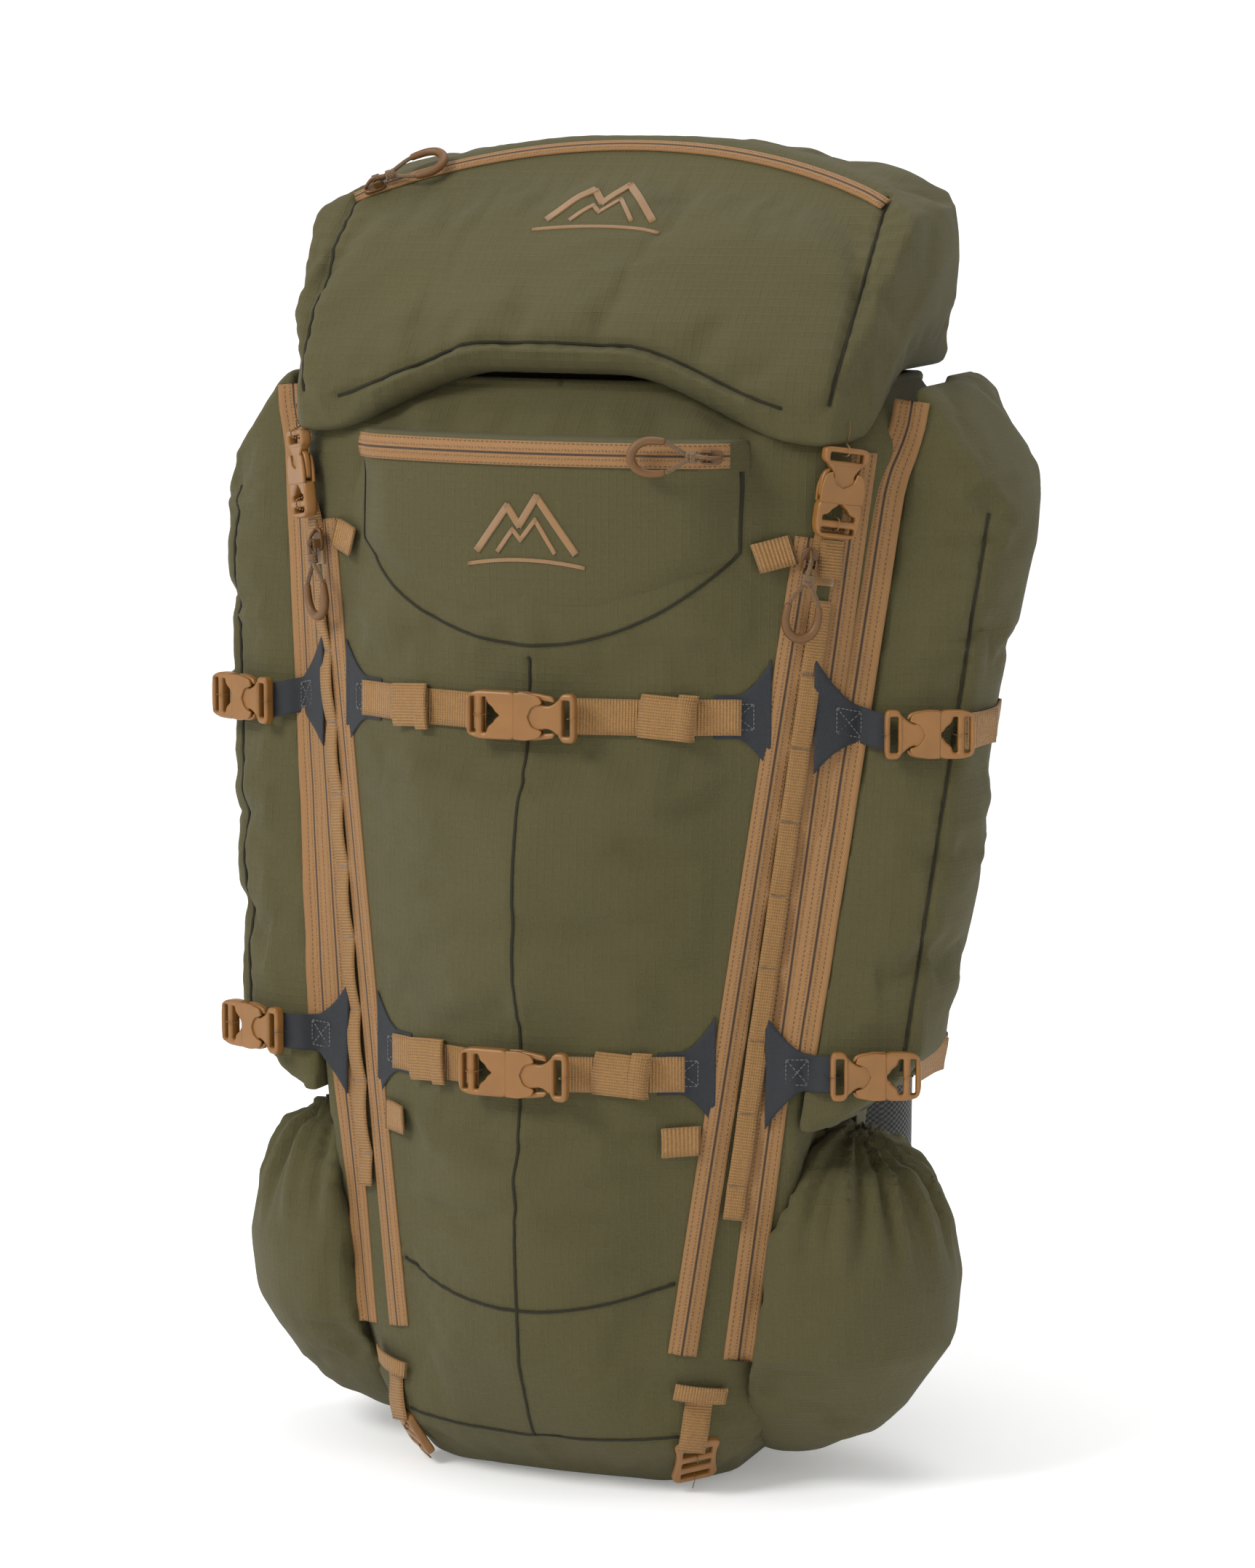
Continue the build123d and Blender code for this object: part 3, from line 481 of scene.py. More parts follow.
def smooth_step(value):
    clipped = np.clip(value, 0.0, 1.0)
    return clipped * clipped * (3 - 2 * clipped)


def skin(rows, count, around=True, closed=False):
    """Faces that join rows of points.

    around joins each row's two ends, and closed joins the last row to the first.
    """
    return [
        (
            r * count + i, r * count + (i + 1) % count,
            (r + 1) % rows * count + (i + 1) % count, (r + 1) % rows * count + i,
        )
        for r in range(rows if closed else rows - 1) for i in range(count if around else count - 1)
    ]


def turned_over(faces):
    """The same four-cornered faces, looking the other way."""
    return [(a, d, c, b) for a, b, c, d in faces]


def end_faces(rows, count):
    """The faces that close the first and the last row."""
    return [tuple(range(count)), tuple(range((rows - 1) * count, rows * count))]


def distance_to_path(co, path):
    """Each point's distance to a line of points."""
    best = np.full(len(co), 1e9)
    for a, b in zip(path, path[1:]):
        a, b = np.array(a), np.array(b)
        run = b - a
        t = np.clip((co - a) @ run / (run @ run), 0.0, 1.0)
        best = np.minimum(best, np.linalg.norm(co - a - t[:, None] * run, axis=1))
    return best


def seam_point(seam, height, side=1):
    point = seam[0] + seam[1] * (height - seam[0].z)
    return Vector((side * point.x, point.y, point.z))


def seam_path(seam, low, high, side=1, steps=12):
    return [seam_point(seam, low + (high - low) * i / steps, side) for i in range(steps + 1)]


CLOTH_FRAMES = 20


def cushion(name, solid, voxel, hold, pressure, slack, cap):
    """Cloth wrapped over a solid and stuffed, which moves no further than the cap.

    hold gives, for each point, 1 where the cloth is sewn or strapped down.
    """
    made = bpy.data.objects.new(name, solid)
    bpy.context.scene.collection.objects.link(made)
    remesh = made.modifiers.new("Remesh", "REMESH")
    remesh.mode = "VOXEL"
    remesh.voxel_size = voxel
    apply_all(made)
    start = coordinates(made.data)
    held = hold(start)
    group = made.vertex_groups.new(name="held")
    for index, weight in enumerate(held):
        if weight > 0.01:
            group.add([index], float(weight), "REPLACE")
    cloth = made.modifiers.new("Cloth", "CLOTH")
    settings = cloth.settings
    settings.quality = 4
    settings.mass = 0.3
    settings.tension_stiffness = 12
    settings.compression_stiffness = 12
    settings.shear_stiffness = 4
    settings.bending_stiffness = 0.4
    settings.use_pressure = True
    settings.uniform_pressure_force = pressure
    settings.shrink_min = -slack
    settings.vertex_group_mass = "held"
    settings.effector_weights.gravity = 0
    cloth.collision_settings.use_collision = False
    cloth.point_cache.frame_start = 1
    cloth.point_cache.frame_end = CLOTH_FRAMES
    scene = bpy.context.scene
    for step in range(1, CLOTH_FRAMES + 1):
        scene.frame_set(step)
    apply_all(made)
    scene.frame_set(1)
    moved = coordinates(made.data) - start
    length = np.linalg.norm(moved, axis=1)
    keep = np.minimum(1.0, cap / np.maximum(length, 1e-9)) * (1 - held)
    move_to(made.data, start + moved * keep[:, None])
    made.vertex_groups.clear()
    return made


def subdivided(made, levels=1):
    sub = made.modifiers.new("Smooth", "SUBSURF")
    sub.levels = levels
    sub.render_levels = levels
    apply_all(made)
    return made


# ---------------------------------------------------------------- soft shells
MOUTH = 0.784
LINING_DEPTH = 0.009
HINGE_WIDTH = 0.300
POCKET_RIM_TOP = 0.676  # where the front pocket's curved lower edge meets its sides


def held_near(distance, grip, fade):
    """1 within the grip distance, falling to 0 over the fade distance."""
    return 1 - smooth_step((distance - grip) / fade)


def hold_bag(co):
    """Where the main bag's cloth is sewn to a zip, strapped down or backed by a panel."""
    held = np.zeros(len(co))
    for side in (1, -1):
        for seam in (FRONT_ZIP, GUSSET_ZIP, POCKET_ZIP):
            distance = distance_to_path(co, seam_path(seam, 0.10, 0.74, side))
            held = np.maximum(held, held_near(distance, 0.010, 0.030))
    for height in (UPPER_STRAP, LOWER_STRAP):
        level = np.abs(co[:, 2] - height)
        held = np.maximum(held, held_near(level, 0.014, 0.030) * 0.9)
    held = np.maximum(held, held_near(0.115 - co[:, 1], 0.004, 0.02))
    held = np.maximum(held, held_near(co[:, 2], 0.004, 0.02))
    held = np.maximum(held, held_near(0.79 - co[:, 2], 0.008, 0.02))
    beside_pocket = (np.abs(co[:, 0]) > 0.165) & (co[:, 1] > -0.06)
    return np.where(beside_pocket, 1.0, held)


def hold_side_pocket(co):
    side = np.sign(co[:, 0].mean())
    held = held_near(distance_to_path(co, seam_path(POCKET_ZIP, 0.26, 0.79, side)), 0.012, 0.03)
    for height in SIDE_STRAPS.values():
        held = np.maximum(held, held_near(np.abs(co[:, 2] - height), 0.014, 0.034))
    wall = POCKET_ZIP[0].x - 0.08 * (co[:, 1] + 0.09) + 0.1187 * (co[:, 2] - 0.33)
    return np.maximum(held, held_near(np.abs(co[:, 0]) - wall, 0.006, 0.012))


def hold_base_pocket(co):
    inner = held_near(np.abs(co[:, 0]) - 0.17, 0.004, 0.02) * (np.abs(co[:, 1]) < 0.085)
    front = held_near(co[:, 1] + 0.115, 0.0, 0.02) * (np.abs(co[:, 0]) < 0.175)
    hem = held_near(0.262 - co[:, 2], 0.008, 0.02)
    foot = held_near(co[:, 2] - 0.016, 0.004, 0.02)
    return np.maximum(np.maximum(inner, front), np.maximum(hem, foot))


def hold_front_pocket(co):
    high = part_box("front_pocket")[1]
    top = held_near(high.z - co[:, 2], 0.024, 0.02)
    back = held_near(co[:, 1] - bag_front(co), 0.003, 0.012)
    return np.maximum(top, back)


def hold_lid(co):
    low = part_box("lid")[0]
    floor = held_near(co[:, 2] - low.z, 0.004, 0.02)
    spot, normal = lid_plane()
    off_plane = np.abs((co - np.array(spot)) @ np.array(normal))
    arch = np.abs(np.linalg.norm(co - np.array(lid_arch_centre()), axis=1) - arch_radius())
    zip_line = held_near(np.maximum(arch, off_plane), 0.010, 0.03)
    return np.maximum(floor, zip_line)


def joint(name):
    return next(j for j in frame["joints"] if j["name"] == name)


def arch_radius():
    """Radius of the lid's arched zip, from the place of its slider."""
    low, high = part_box("lid_slider")
    centre, normal = lid_plane()
    reach = (low + high) / 2 - centre
    return (reach - normal * reach.dot(normal)).length


def lid_arch_centre():
    return Vector(joint("lid_zip_run")["pos_m"])


def lid_plane():
    """A point on the lid's sloping front panel, and the direction in which it faces."""
    return lid_arch_centre(), -Vector(joint("lid_zip_run")["axis"])


def lid_up():
    """The direction up the lid's sloping front panel."""
    normal = lid_plane()[1]
    up = Vector((0.0, -normal.z, normal.y))
    return up if up.z > 0 else -up


def lid_corner(x):
    """0 along the middle of the lid's front edge, and 1 at its corners."""
    return smooth_step((np.abs(x) - 0.045) / 0.145)


_trees = {}


def tree_of(obj):
    """The object's surface, for finding places on it."""
    return BVHTree.FromPolygons([v.co for v in obj.data.vertices], [p.vertices for p in obj.data.polygons])


def bag_front(co):
    """How far forward the frame's main bag is in front of each point."""
    if "main_bag" not in _trees:
        _trees["main_bag"] = tree_of(NODES["main_bag"])
    tree = _trees["main_bag"]
    out = np.zeros(len(co))
    for i, point in enumerate(co):
        hit = tree.ray_cast(Vector((point[0], -0.5, point[2])), -AHEAD)[0]
        out[i] = hit.y if hit is not None else 0.0
    return out


def level_outline(z):
    """The main bag's outline at a height, as points found on the frame's walls all the way round."""
    steps = 160
    middle = Vector((0.0, 0.02, z))
    points = []
    for i in range(steps):
        turn = 2 * math.pi * i / steps
        direction = Vector((math.sin(turn), -math.cos(turn), 0.0))
        hit = _trees["bag_all"].ray_cast(middle + direction * 0.6, -direction)[0]
        points.append(hit if hit is not None else middle)
    return points


def bag_solid():
    """A closed solid with the main bag's outside."""
    joined = bmesh.new()
    for name in ("main_bag", "back_panel", "base_panel"):
        joined.from_mesh(NODES[name].data)
    _trees["bag_all"] = BVHTree.FromBMesh(joined)
    joined.free()
    foot, neck = (0.0005, 0.004, 0.022, 0.045, 0.075), (0.766, 0.778, 0.789)
    heights = [*foot, *(0.104 + i * 0.0245 for i in range(27)), *neck]
    rings = [level_outline(z) for z in heights]
    points = [p for ring in rings for p in ring]
    count = len(rings[0])
    faces = skin(len(rings), count)
    faces.append(tuple(reversed(range(count))))
    faces.append(tuple((len(rings) - 1) * count + i for i in range(count)))
    mesh = bpy.data.meshes.new("bag_solid")
    mesh.from_pydata([tuple(p) for p in points], [], faces)
    return mesh


def crease_field(co, scale, stretch, seed):
    """Soft noise between -1 and 1, the same on every run."""
    shift = Vector((seed * 7.3, seed * 3.1, seed * 5.7))
    out = np.zeros(len(co))
    for i, point in enumerate(co):
        place = Vector((point[0] * stretch[0], point[1] * stretch[1], point[2] * stretch[2])) * scale + shift
        out[i] = noise.noise(place)
    return out


def rumple(made, held, amount, seed, stretch=(1.0, 1.0, 0.55)):
    """Shallow creases that die out where the cloth is held down."""
    co = coordinates(made.data)
    normal = normals_of(made.data)
    free = 1 - held(co)
    wide = crease_field(co, 11.0, stretch, seed)
    sharp = 1 - np.abs(crease_field(co, 19.0, stretch, seed + 3)) * 2.4
    field = 0.6 * wide + 0.4 * np.clip(sharp, -0.2, 1.0)
    move_to(made.data, co + normal * (field * amount * free)[:, None])


def sew(made, path, width=0.006, depth=0.0030, pucker=0.0006, pitch=0.014):
    """Pulls the cloth in along a seam and puckers it on both sides."""
    co = coordinates(made.data)
    normal = normals_of(made.data)
    distance = distance_to_path(co, path)
    groove = -depth * np.clip(1 - distance / width, 0, 1) ** 2
    along = np.linalg.norm(co - np.array(path[0]), axis=1)
    ripples = pucker * np.sin(along * 2 * math.pi / pitch) * np.clip(1 - distance / (width * 4), 0, 1)
    near = distance < width * 4
    co[near] += normal[near] * (groove + ripples)[near][:, None]
    move_to(made.data, co)


def skinned(made, key, body, replaces):
    box_flat(made.data)
    finish_piece(made, key, body)
    if replaces:
        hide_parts(*replaces)
    return made


_skins = {}


def surface():
    """All the outer cloth of the pack's body as one surface, for laying webbing, zips and the painted seam
    shadows on it.
    """
    if "body" not in _trees:
        joined = bmesh.new()
        for name in ("bag", "front_pocket", "side_left", "side_right", "base_left", "base_right"):
            joined.from_mesh(_skins[name].data)
        _trees["body"] = BVHTree.FromBMesh(joined)
        joined.free()
    return _trees["body"]


def lid_surface():
    if "lid" not in _trees:
        _trees["lid"] = tree_of(_skins["lid"])
    return _trees["lid"]


def settle(point, outward, tree=None, reach=0.09):
    """The place on the cloth behind a point, seen from outside, and the way the cloth faces there."""
    outward = Vector(outward).normalized()
    found, facing, _, _ = (tree or surface()).ray_cast(Vector(point) + outward * reach, -outward, reach * 2.2)
    if found is None:
        return Vector(point), outward
    if facing.dot(outward) < 0:
        facing = -facing
    return found, facing


class BACKPACK_OT_main_bag(bpy.types.Operator):
    """Adds the stuffed main bag, its lining and the cloth's seams"""

    bl_idname = "backpack.main_bag"
    bl_label = "Main bag"

    def execute(self, context):
        grain = sizes().voxel * 1.15
        bag = cushion("main_bag_cloth", bag_solid(), grain, hold_bag, sizes().pressure, sizes().slack, 0.016)
        cut_mouth(bag, 0.786)
        subdivided(bag)
        rumple(bag, hold_bag, 0.0030, 1)
        for path in bag_seams():
            sew(bag, path)
        skinned(bag, "cloth", "pack", ("main_bag", "back_panel", "base_panel"))
        _skins["bag"] = bag
        add_lining()
        return {"FINISHED"}


def cut_mouth(made, height):
    """Opens the top of a closed cloth form."""
    mesh = bmesh.new()
    mesh.from_mesh(made.data)
    top = [f for f in mesh.faces if f.calc_center_median().z > height and f.normal.z > 0.8]
    bmesh.ops.delete(mesh, geom=top, context="FACES")
    mesh.to_mesh(made.data)
    mesh.free()


def bag_seams():
    """The seams of the main bag's front: the low arch, one round the foot, and one up the middle."""
    half = 0.104
    across = [-half + 0.013 * i for i in range(17)]
    lines = (
        [(x, 0.139 + 0.020 * (abs(x) / half) ** 2) for x in across],
        [(x, 0.046 - 0.006 * (1 - (abs(x) / half) ** 2)) for x in across],
        [(0.0, 0.04 + 0.02 * i) for i in range(29)],
    )
    tree = _trees["bag_all"]
    return [[tuple(tree.ray_cast(Vector((x, -0.5, z)), -AHEAD)[0]) for x, z in line] for line in lines]


def inset(ring, depth):
    """The same level outline, moved in by a depth."""
    out = []
    for i, point in enumerate(ring):
        run = ring[(i + 1) % len(ring)] - ring[i - 1]
        inward = Vector((-run.y, run.x, 0.0)).normalized()
        out.append(point + inward * depth)
    return out


def add_lining():
    """The inside of the main bag, and the bound edge of its mouth."""
    heights = [LINING_DEPTH, 0.05, 0.10, *(0.15 + 0.05 * i for i in range(12)), 0.75, MOUTH - 0.004]
    rings = [inset(level_outline(z), LINING_DEPTH) for z in heights]
    count = len(rings[0])
    points = [p for ring in rings for p in ring]
    faces = turned_over(skin(len(rings), count))
    faces.append(tuple(range(count)))
    piece("bag_lining", points, faces, "lining", "pack")
    binding = inset(level_outline(MOUTH), LINING_DEPTH / 2)
    tube("mouth_binding", binding, LINING_DEPTH / 2, "cloth", "pack", 10, closed=True)


class BACKPACK_OT_pockets(bpy.types.Operator):
    """Adds the front pocket, the tall side pockets and the gathered pockets at the base"""

    bl_idname = "backpack.pockets"
    bl_label = "Pockets"

    def execute(self, context):
        grain = sizes().voxel
        front = cushion(
            "front_pocket_cloth", NODES["front_pocket"].data.copy(), grain * 0.7, hold_front_pocket,
            sizes().pressure, sizes().slack, 0.008,
        )
        taper_pocket(front)
        subdivided(front)
        rumple(front, hold_front_pocket, 0.0016, 21)
        _skins["front_pocket"] = skinned(front, "cloth", "pack", ("front_pocket",))
        for side, seed in (("right", 5), ("left", 12)):
            name = f"side_pocket_{side}"
            tall = cushion(
                f"{name}_cloth", NODES[name].data.copy(), grain, hold_side_pocket, sizes().pressure,
                sizes().slack, 0.014,
            )
            slope_top(tall)
            subdivided(tall)
            rumple(tall, hold_side_pocket, 0.0024, seed, (1.0, 1.0, 0.4))
            _trees[name] = tree_of(tall)
            sew(tall, side_pocket_seam(1 if side == "right" else -1), 0.006, 0.0026, 0.0003)
            _skins[f"side_{side}"] = skinned(tall, "cloth", "pack", (name,))
            name = f"base_pocket_{side}"
            low = cushion(
                f"{name}_cloth", NODES[name].data.copy(), grain, hold_base_pocket, sizes().pressure,
                sizes().slack, 0.012,
            )
            subdivided(low)
            gather(low, seed)
            rumple(low, hold_base_pocket, 0.0030, seed + 2, (1.2, 1.2, 0.5))
            _skins[f"base_{side}"] = skinned(low, "cloth", "pack", (name,))
        return {"FINISHED"}


def pocket_rim(x):
    """Height of the front pocket's lower edge at a place across it."""
    low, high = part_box("front_pocket")
    half = high.x
    sag = POCKET_RIM_TOP - low.z
    radius = (half * half + sag * sag) / (2 * sag)
    return low.z + radius - np.sqrt(np.maximum(radius * radius - x * x, 0.0))


def taper_pocket(made):
    """Thins the front pocket towards its sewn edges."""
    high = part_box("front_pocket")[1]
    co = coordinates(made.data)
    edge = np.minimum(high.x - np.abs(co[:, 0]), co[:, 2] - pocket_rim(co[:, 0]))
    share = 0.22 + 0.78 * smooth_step(edge / 0.034) ** 0.7
    front = bag_front(co)
    ahead = np.maximum(0.0, front - co[:, 1])
    near_top = smooth_step((co[:, 2] - (high.z - 0.035)) / 0.02)
    near_zip = near_top * smooth_step((high.x - np.abs(co[:, 0])) / 0.014)
    share = share + (1 - share) * near_zip * 0.9
    co[:, 1] = np.where(co[:, 1] < front, front - ahead * share, co[:, 1])
    move_to(made.data, co)


def slope_top(made):
    """Slopes the top of a side pocket down towards its outer edge."""
    co = coordinates(made.data)
    wall = POCKET_ZIP[0].x + POCKET_ZIP[1].x * (co[:, 2] - POCKET_ZIP[0].z)
    past = np.maximum(0.0, np.abs(co[:, 0]) - wall - 0.008)
    high = smooth_step((co[:, 2] - 0.62) / 0.16)
    co[:, 2] -= 0.62 * past * high
    move_to(made.data, co)


def side_pocket_seam(side):
    """The seam that runs up a side pocket near its outer edge."""
    tree = _trees[f"side_pocket_{word_of(side)}"]
    edge = []
    for i in range(24):
        z = 0.312 + 0.0168 * i
        spot = Vector((side * (0.274 + 0.10 * (z - 0.52)), -0.04 + 0.165 * (z - 0.52), z))
        edge.append(settle(spot, (side * 0.25, -1, 0), tree)[0])
    return edge


def gather(made, seed):
    """Pleats that fan out below an elastic hem."""
    co = coordinates(made.data)
    normal = normals_of(made.data)
    middle = co.mean(axis=0)
    turn = np.arctan2(co[:, 1] - middle[1], co[:, 0] - middle[0])
    fan = np.sin(turn * 17 + 1.3 * np.sin(turn * 5 + seed)) + 0.45 * np.sin(turn * 31 + seed)
    rise = smooth_step((co[:, 2] - 0.150) / 0.085)
    flat = np.clip(np.hypot(normal[:, 0], normal[:, 1]), 0, 1)
    move_to(made.data, co + normal * (0.0062 * fan * rise * flat)[:, None])


def drape_lid(made):
    """Lets the lid's front corners hang over the bag, and draws its ends in."""
    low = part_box("lid")[0]
    co = coordinates(made.data)
    x, y, z = co[:, 0].copy(), co[:, 1].copy(), co[:, 2].copy()
    ahead = smooth_step((0.035 - y) / 0.10)
    loose = 1 - smooth_step((z - low.z - 0.004) / 0.115)
    co[:, 2] -= 0.046 * ahead * lid_corner(x) * loose
    co[:, 1] -= 0.008 * ahead * loose
    reach = 0.192
    past = np.maximum(0.0, np.abs(x) - reach)
    co[:, 0] = np.sign(x) * (np.minimum(np.abs(x), reach) + 0.74 * past)
    move_to(made.data, co)


LID_FRONT_OUTWARD = (0, -1, 0.25)


def lid_end_outward(side):
    return (side * 0.35, -0.8, 0.5)


def lid_seams():
    """The fold along the lid's front edge, and the seams between its front and its ends."""
    tree = lid_surface()
    fold = []
    for i in range(25):
        x = -0.168 + 0.014 * i
        z = 0.817 - 0.044 * float(lid_corner(np.array(x)))
        fold.append(settle((x, -0.10, z), LID_FRONT_OUTWARD, tree)[0])
    out = [fold]
    for side in (1, -1):
        start = Vector((side * 0.204, 0.026, 0.916))
        end = Vector((side * 0.199, -0.080, 0.775))
        outward = lid_end_outward(side)
        out.append([settle(start.lerp(end, i / 12), outward, tree)[0] for i in range(13)])
    return out


class BACKPACK_OT_lid(bpy.types.Operator):
    """Adds the stuffed lid and its seams"""

    bl_idname = "backpack.lid"
    bl_label = "Lid"

    def execute(self, context):
        lid = cushion(
            "lid_cloth", NODES["lid"].data.copy(), sizes().voxel * 0.9, hold_lid, sizes().pressure,
            sizes().slack, 0.010,
        )
        drape_lid(lid)
        subdivided(lid)
        rumple(lid, hold_lid, 0.0028, 9, (0.7, 1.0, 1.3))
        _skins["lid"] = lid
        for path in lid_seams():
            sew(lid, path, 0.008, 0.0042)
        _trees.pop("lid")
        skinned(lid, "cloth", "lid", ("lid",))
        add_hinge_cloth()
        return {"FINISHED"}


def add_hinge_cloth():
    """The sewn fold that joins the lid's back edge to the bag: a half on each, and piping where they meet."""
    hinge = Vector(joint("lid_hinge")["pos_m"])
    halves = (
        ("hinge_cloth_bag", Vector((0.0, hinge.y - 0.008, MOUTH - 0.006)), (0.0, 1.0, -0.4), "pack"),
        ("hinge_cloth_lid", hinge + Vector((0.0, -0.030, 0.001)), (0.0, 0.0, 1.0), "lid"),
    )
    for name, end, outward, body in halves:
        ribbon(
            name, [end, end.lerp(hinge, 0.5), hinge], outward, HINGE_WIDTH, "cloth", body, lift=0.0,
            thick=0.0016, columns=9, float_free=True, slot="olive_ripstop",
        )
    piping = [hinge + Vector((HINGE_WIDTH * (i / 10 - 0.5), 0.0, 0.0)) for i in range(11)]
    tube("hinge_piping", piping, 0.0024, "cloth", "pack", 10)


# ---------------------------------------------------------------- strips, cords and mouldings
def curve_through(points, per=8):
    """A smooth line through points."""
    points = [Vector(p) for p in points]
    ends = [points[0] * 2 - points[1]] + points + [points[-1] * 2 - points[-2]]
    out = []
    for a, b, c, d in zip(ends, ends[1:], ends[2:], ends[3:]):
        square, cube = 2 * a - 5 * b + 4 * c - d, 3 * b - a - 3 * c + d
        for i in range(per):
            t = i / per
            out.append(0.5 * (2 * b + (c - a) * t + square * t ** 2 + cube * t ** 3))
    out.append(points[-1])
    return out


def lengths_along(path):
    total = [0.0]
    for a, b in zip(path, path[1:]):
        total.append(total[-1] + (b - a).length)
    return total


def evened(path, step):
    """The same line with points a step apart."""
    total = lengths_along(path)
    count = max(2, round(total[-1] / step))
    out = []
    leg = 0
    for i in range(count + 1):
        want = total[-1] * i / count
        while leg < len(path) - 2 and total[leg + 1] < want:
            leg += 1
        span = max(total[leg + 1] - total[leg], 1e-9)
        out.append(path[leg].lerp(path[leg + 1], min(1.0, (want - total[leg]) / span)))
    return out


def blurred(values, axis):
    padded = np.concatenate([values.take([0], axis), values, values.take([-1], axis)], axis)
    low = padded.take(range(0, values.shape[axis]), axis)
    high = padded.take(range(2, values.shape[axis] + 2), axis)
    return 0.5 * values + 0.25 * (low + high)


def heights_on_cloth(places, outs, tree, calm):
    """How far each place is from the cloth behind it, without the jumps at gaps between cloths."""
    found = np.array([
        [(settle(place, out, tree)[0] - place).dot(out) for place in row] for row, out in zip(places, outs)
    ])
    middle = np.median(found, axis=1, keepdims=True)
    found = np.clip(found, middle - 0.004, middle + 0.004)
    for _ in range(calm):
        found = blurred(blurred(found, 0), 1)
    return found


def ribbon(
    name, path, outward, width, key, body="pack", lift=0.0006, thick=0.0014, tree=None, columns=5, calm=2,
    crown=None, wave=None, float_free=False, step=0.006, slot="tan_webbing",
):
    """A strip laid on the cloth along a path.

    crown raises its face across it, and wave lifts it along its length. calm is how often the cloth's own
    bumps are smoothed out of it, and float_free keeps it on its path, off the cloth.
    """
    path = evened(path, step)
    total = lengths_along(path)
    count = len(path)
    outs = [Vector(outward(p) if callable(outward) else outward).normalized() for p in path]
    offsets = [width * (j / (columns - 1) - 0.5) for j in range(columns)]
    places = []
    for i, point in enumerate(path):
        run = path[min(i + 1, count - 1)] - path[max(i - 1, 0)]
        across = run.cross(outs[i]).normalized()
        places.append([point + across * offset for offset in offsets])
    found = np.zeros((count, columns)) if float_free else heights_on_cloth(places, outs, tree, calm)
    rise = np.array([wave(s, total[-1]) if wave else 0.0 for s in total])
    over = np.array([crown(o) if crown else 0.0 for o in offsets])
    low = found + lift + rise[:, None]
    high = low + thick + over[None, :]
    points = []
    flat = []
    ring = columns + 2
    across = [offsets[0] - thick, *offsets, offsets[-1] + thick]
    for i in range(count):
        points.append(places[i][0] + outs[i] * low[i][0])
        points += [places[i][j] + outs[i] * high[i][j] for j in range(columns)]
        points.append(places[i][-1] + outs[i] * low[i][-1])
        flat += [(total[i], offset) for offset in across]
    faces = skin(count, ring, around=False) + end_faces(count, ring)
    return piece(name, points, faces, key, body, flat)


def tube(name, path, radius, key, body, sides=10, closed=False):
    """A round cord or rod along a path. The radius is one number or one for each point."""
    count = len(path)
    radii = radius if isinstance(radius, (list, tuple)) else [radius] * count
    total = lengths_along(path)
    points = []
    flat = []
    side = None
    for i, point in enumerate(path):
        after = path[(i + 1) % count] if closed else path[min(i + 1, count - 1)]
        before = path[i - 1] if closed or i else path[0]
        run = (after - before).normalized()
        if side is None:
            side = run.orthogonal().normalized()
        side = (side - run * side.dot(run)).normalized()
        up = run.cross(side)
        for k in range(sides):
            turn = 2 * math.pi * k / sides
            points.append(point + (side * math.cos(turn) + up * math.sin(turn)) * radii[i])
            flat.append((total[i], radii[i] * turn))
    faces = skin(count, sides, closed=closed)
    if not closed:
        faces.append(tuple(reversed(range(sides))))
        faces.append(tuple(range((count - 1) * sides, count * sides)))
    return piece(name, points, faces, key, body, flat)


def rounded(corners, radius, steps=5):
    """A closed outline with its corners rounded. A corner may bring its own radius as a third value."""
    out = []
    count = len(corners)
    for i, corner in enumerate(corners):
        here = Vector(corner[:2])
        reach = corner[2] if len(corner) > 2 else radius
        before = Vector(corners[i - 1][:2]) - here
        after = Vector(corners[(i + 1) % count][:2]) - here
        reach = min(reach, before.length * 0.49, after.length * 0.49)
        start, end = here + before.normalized() * reach, here + after.normalized() * reach
        for k in range(steps + 1):
            t = k / steps
            out.append(start.lerp(here, t).lerp(here.lerp(end, t), t))
    return out


# Outlines are filled at this turn and turned back, because the fill goes wrong when corners line up exactly.
FILL_TURN = 0.41


def moulding(
    name, outline, holes, thick, edge, place, key, body, level=0.0, scale=MM,
):
    """A moulded plate with rounded edges and holes. Its outline is in the place's X and Y, in millimetres."""
    curve = bpy.data.curves.new(name, "CURVE")
    curve.dimensions = "2D"
    curve.fill_mode = "BOTH"
    curve.extrude = thick / 2 - edge
    curve.bevel_depth = edge
    curve.bevel_resolution = 2
    curve.offset = -edge
    turned = Matrix.Rotation(FILL_TURN, 2)
    for loop in (outline, *holes):
        spline = curve.splines.new("POLY")
        spline.points.add(len(loop) - 1)
        for spot, co in zip(spline.points, loop):
            spot.co = (*(turned @ Vector(co[:2])), 0.0, 1.0)
        spline.use_cyclic_u = True
    holder = bpy.data.objects.new(name, curve)
    bpy.context.scene.collection.objects.link(holder)
    mesh = evaluated(holder)
    bpy.data.objects.remove(holder)
    back = Matrix.Rotation(-FILL_TURN, 4, "Z")
    mesh.transform(place @ Matrix.Scale(scale, 4) @ Matrix.Translation((0, 0, level)) @ back)
    made = bpy.data.objects.new(name, mesh)
    bpy.context.scene.collection.objects.link(made)
    box_flat(mesh)
    finish_piece(made, key, body)
    mesh.set_sharp_from_angle(angle=math.radians(50))
    return made


def slot_hole(x, y, wide, high, radius=1.2):
    left, right, low, top = x - wide / 2, x + wide / 2, y - high / 2, y + high / 2
    return rounded([(left, low), (left, top), (right, top), (right, low)], radius)


def both_halves(upper):
    """A closed outline from its upper half."""
    return list(upper) + [(x, -y, *rest) for x, y, *rest in reversed(upper) if y > 0]


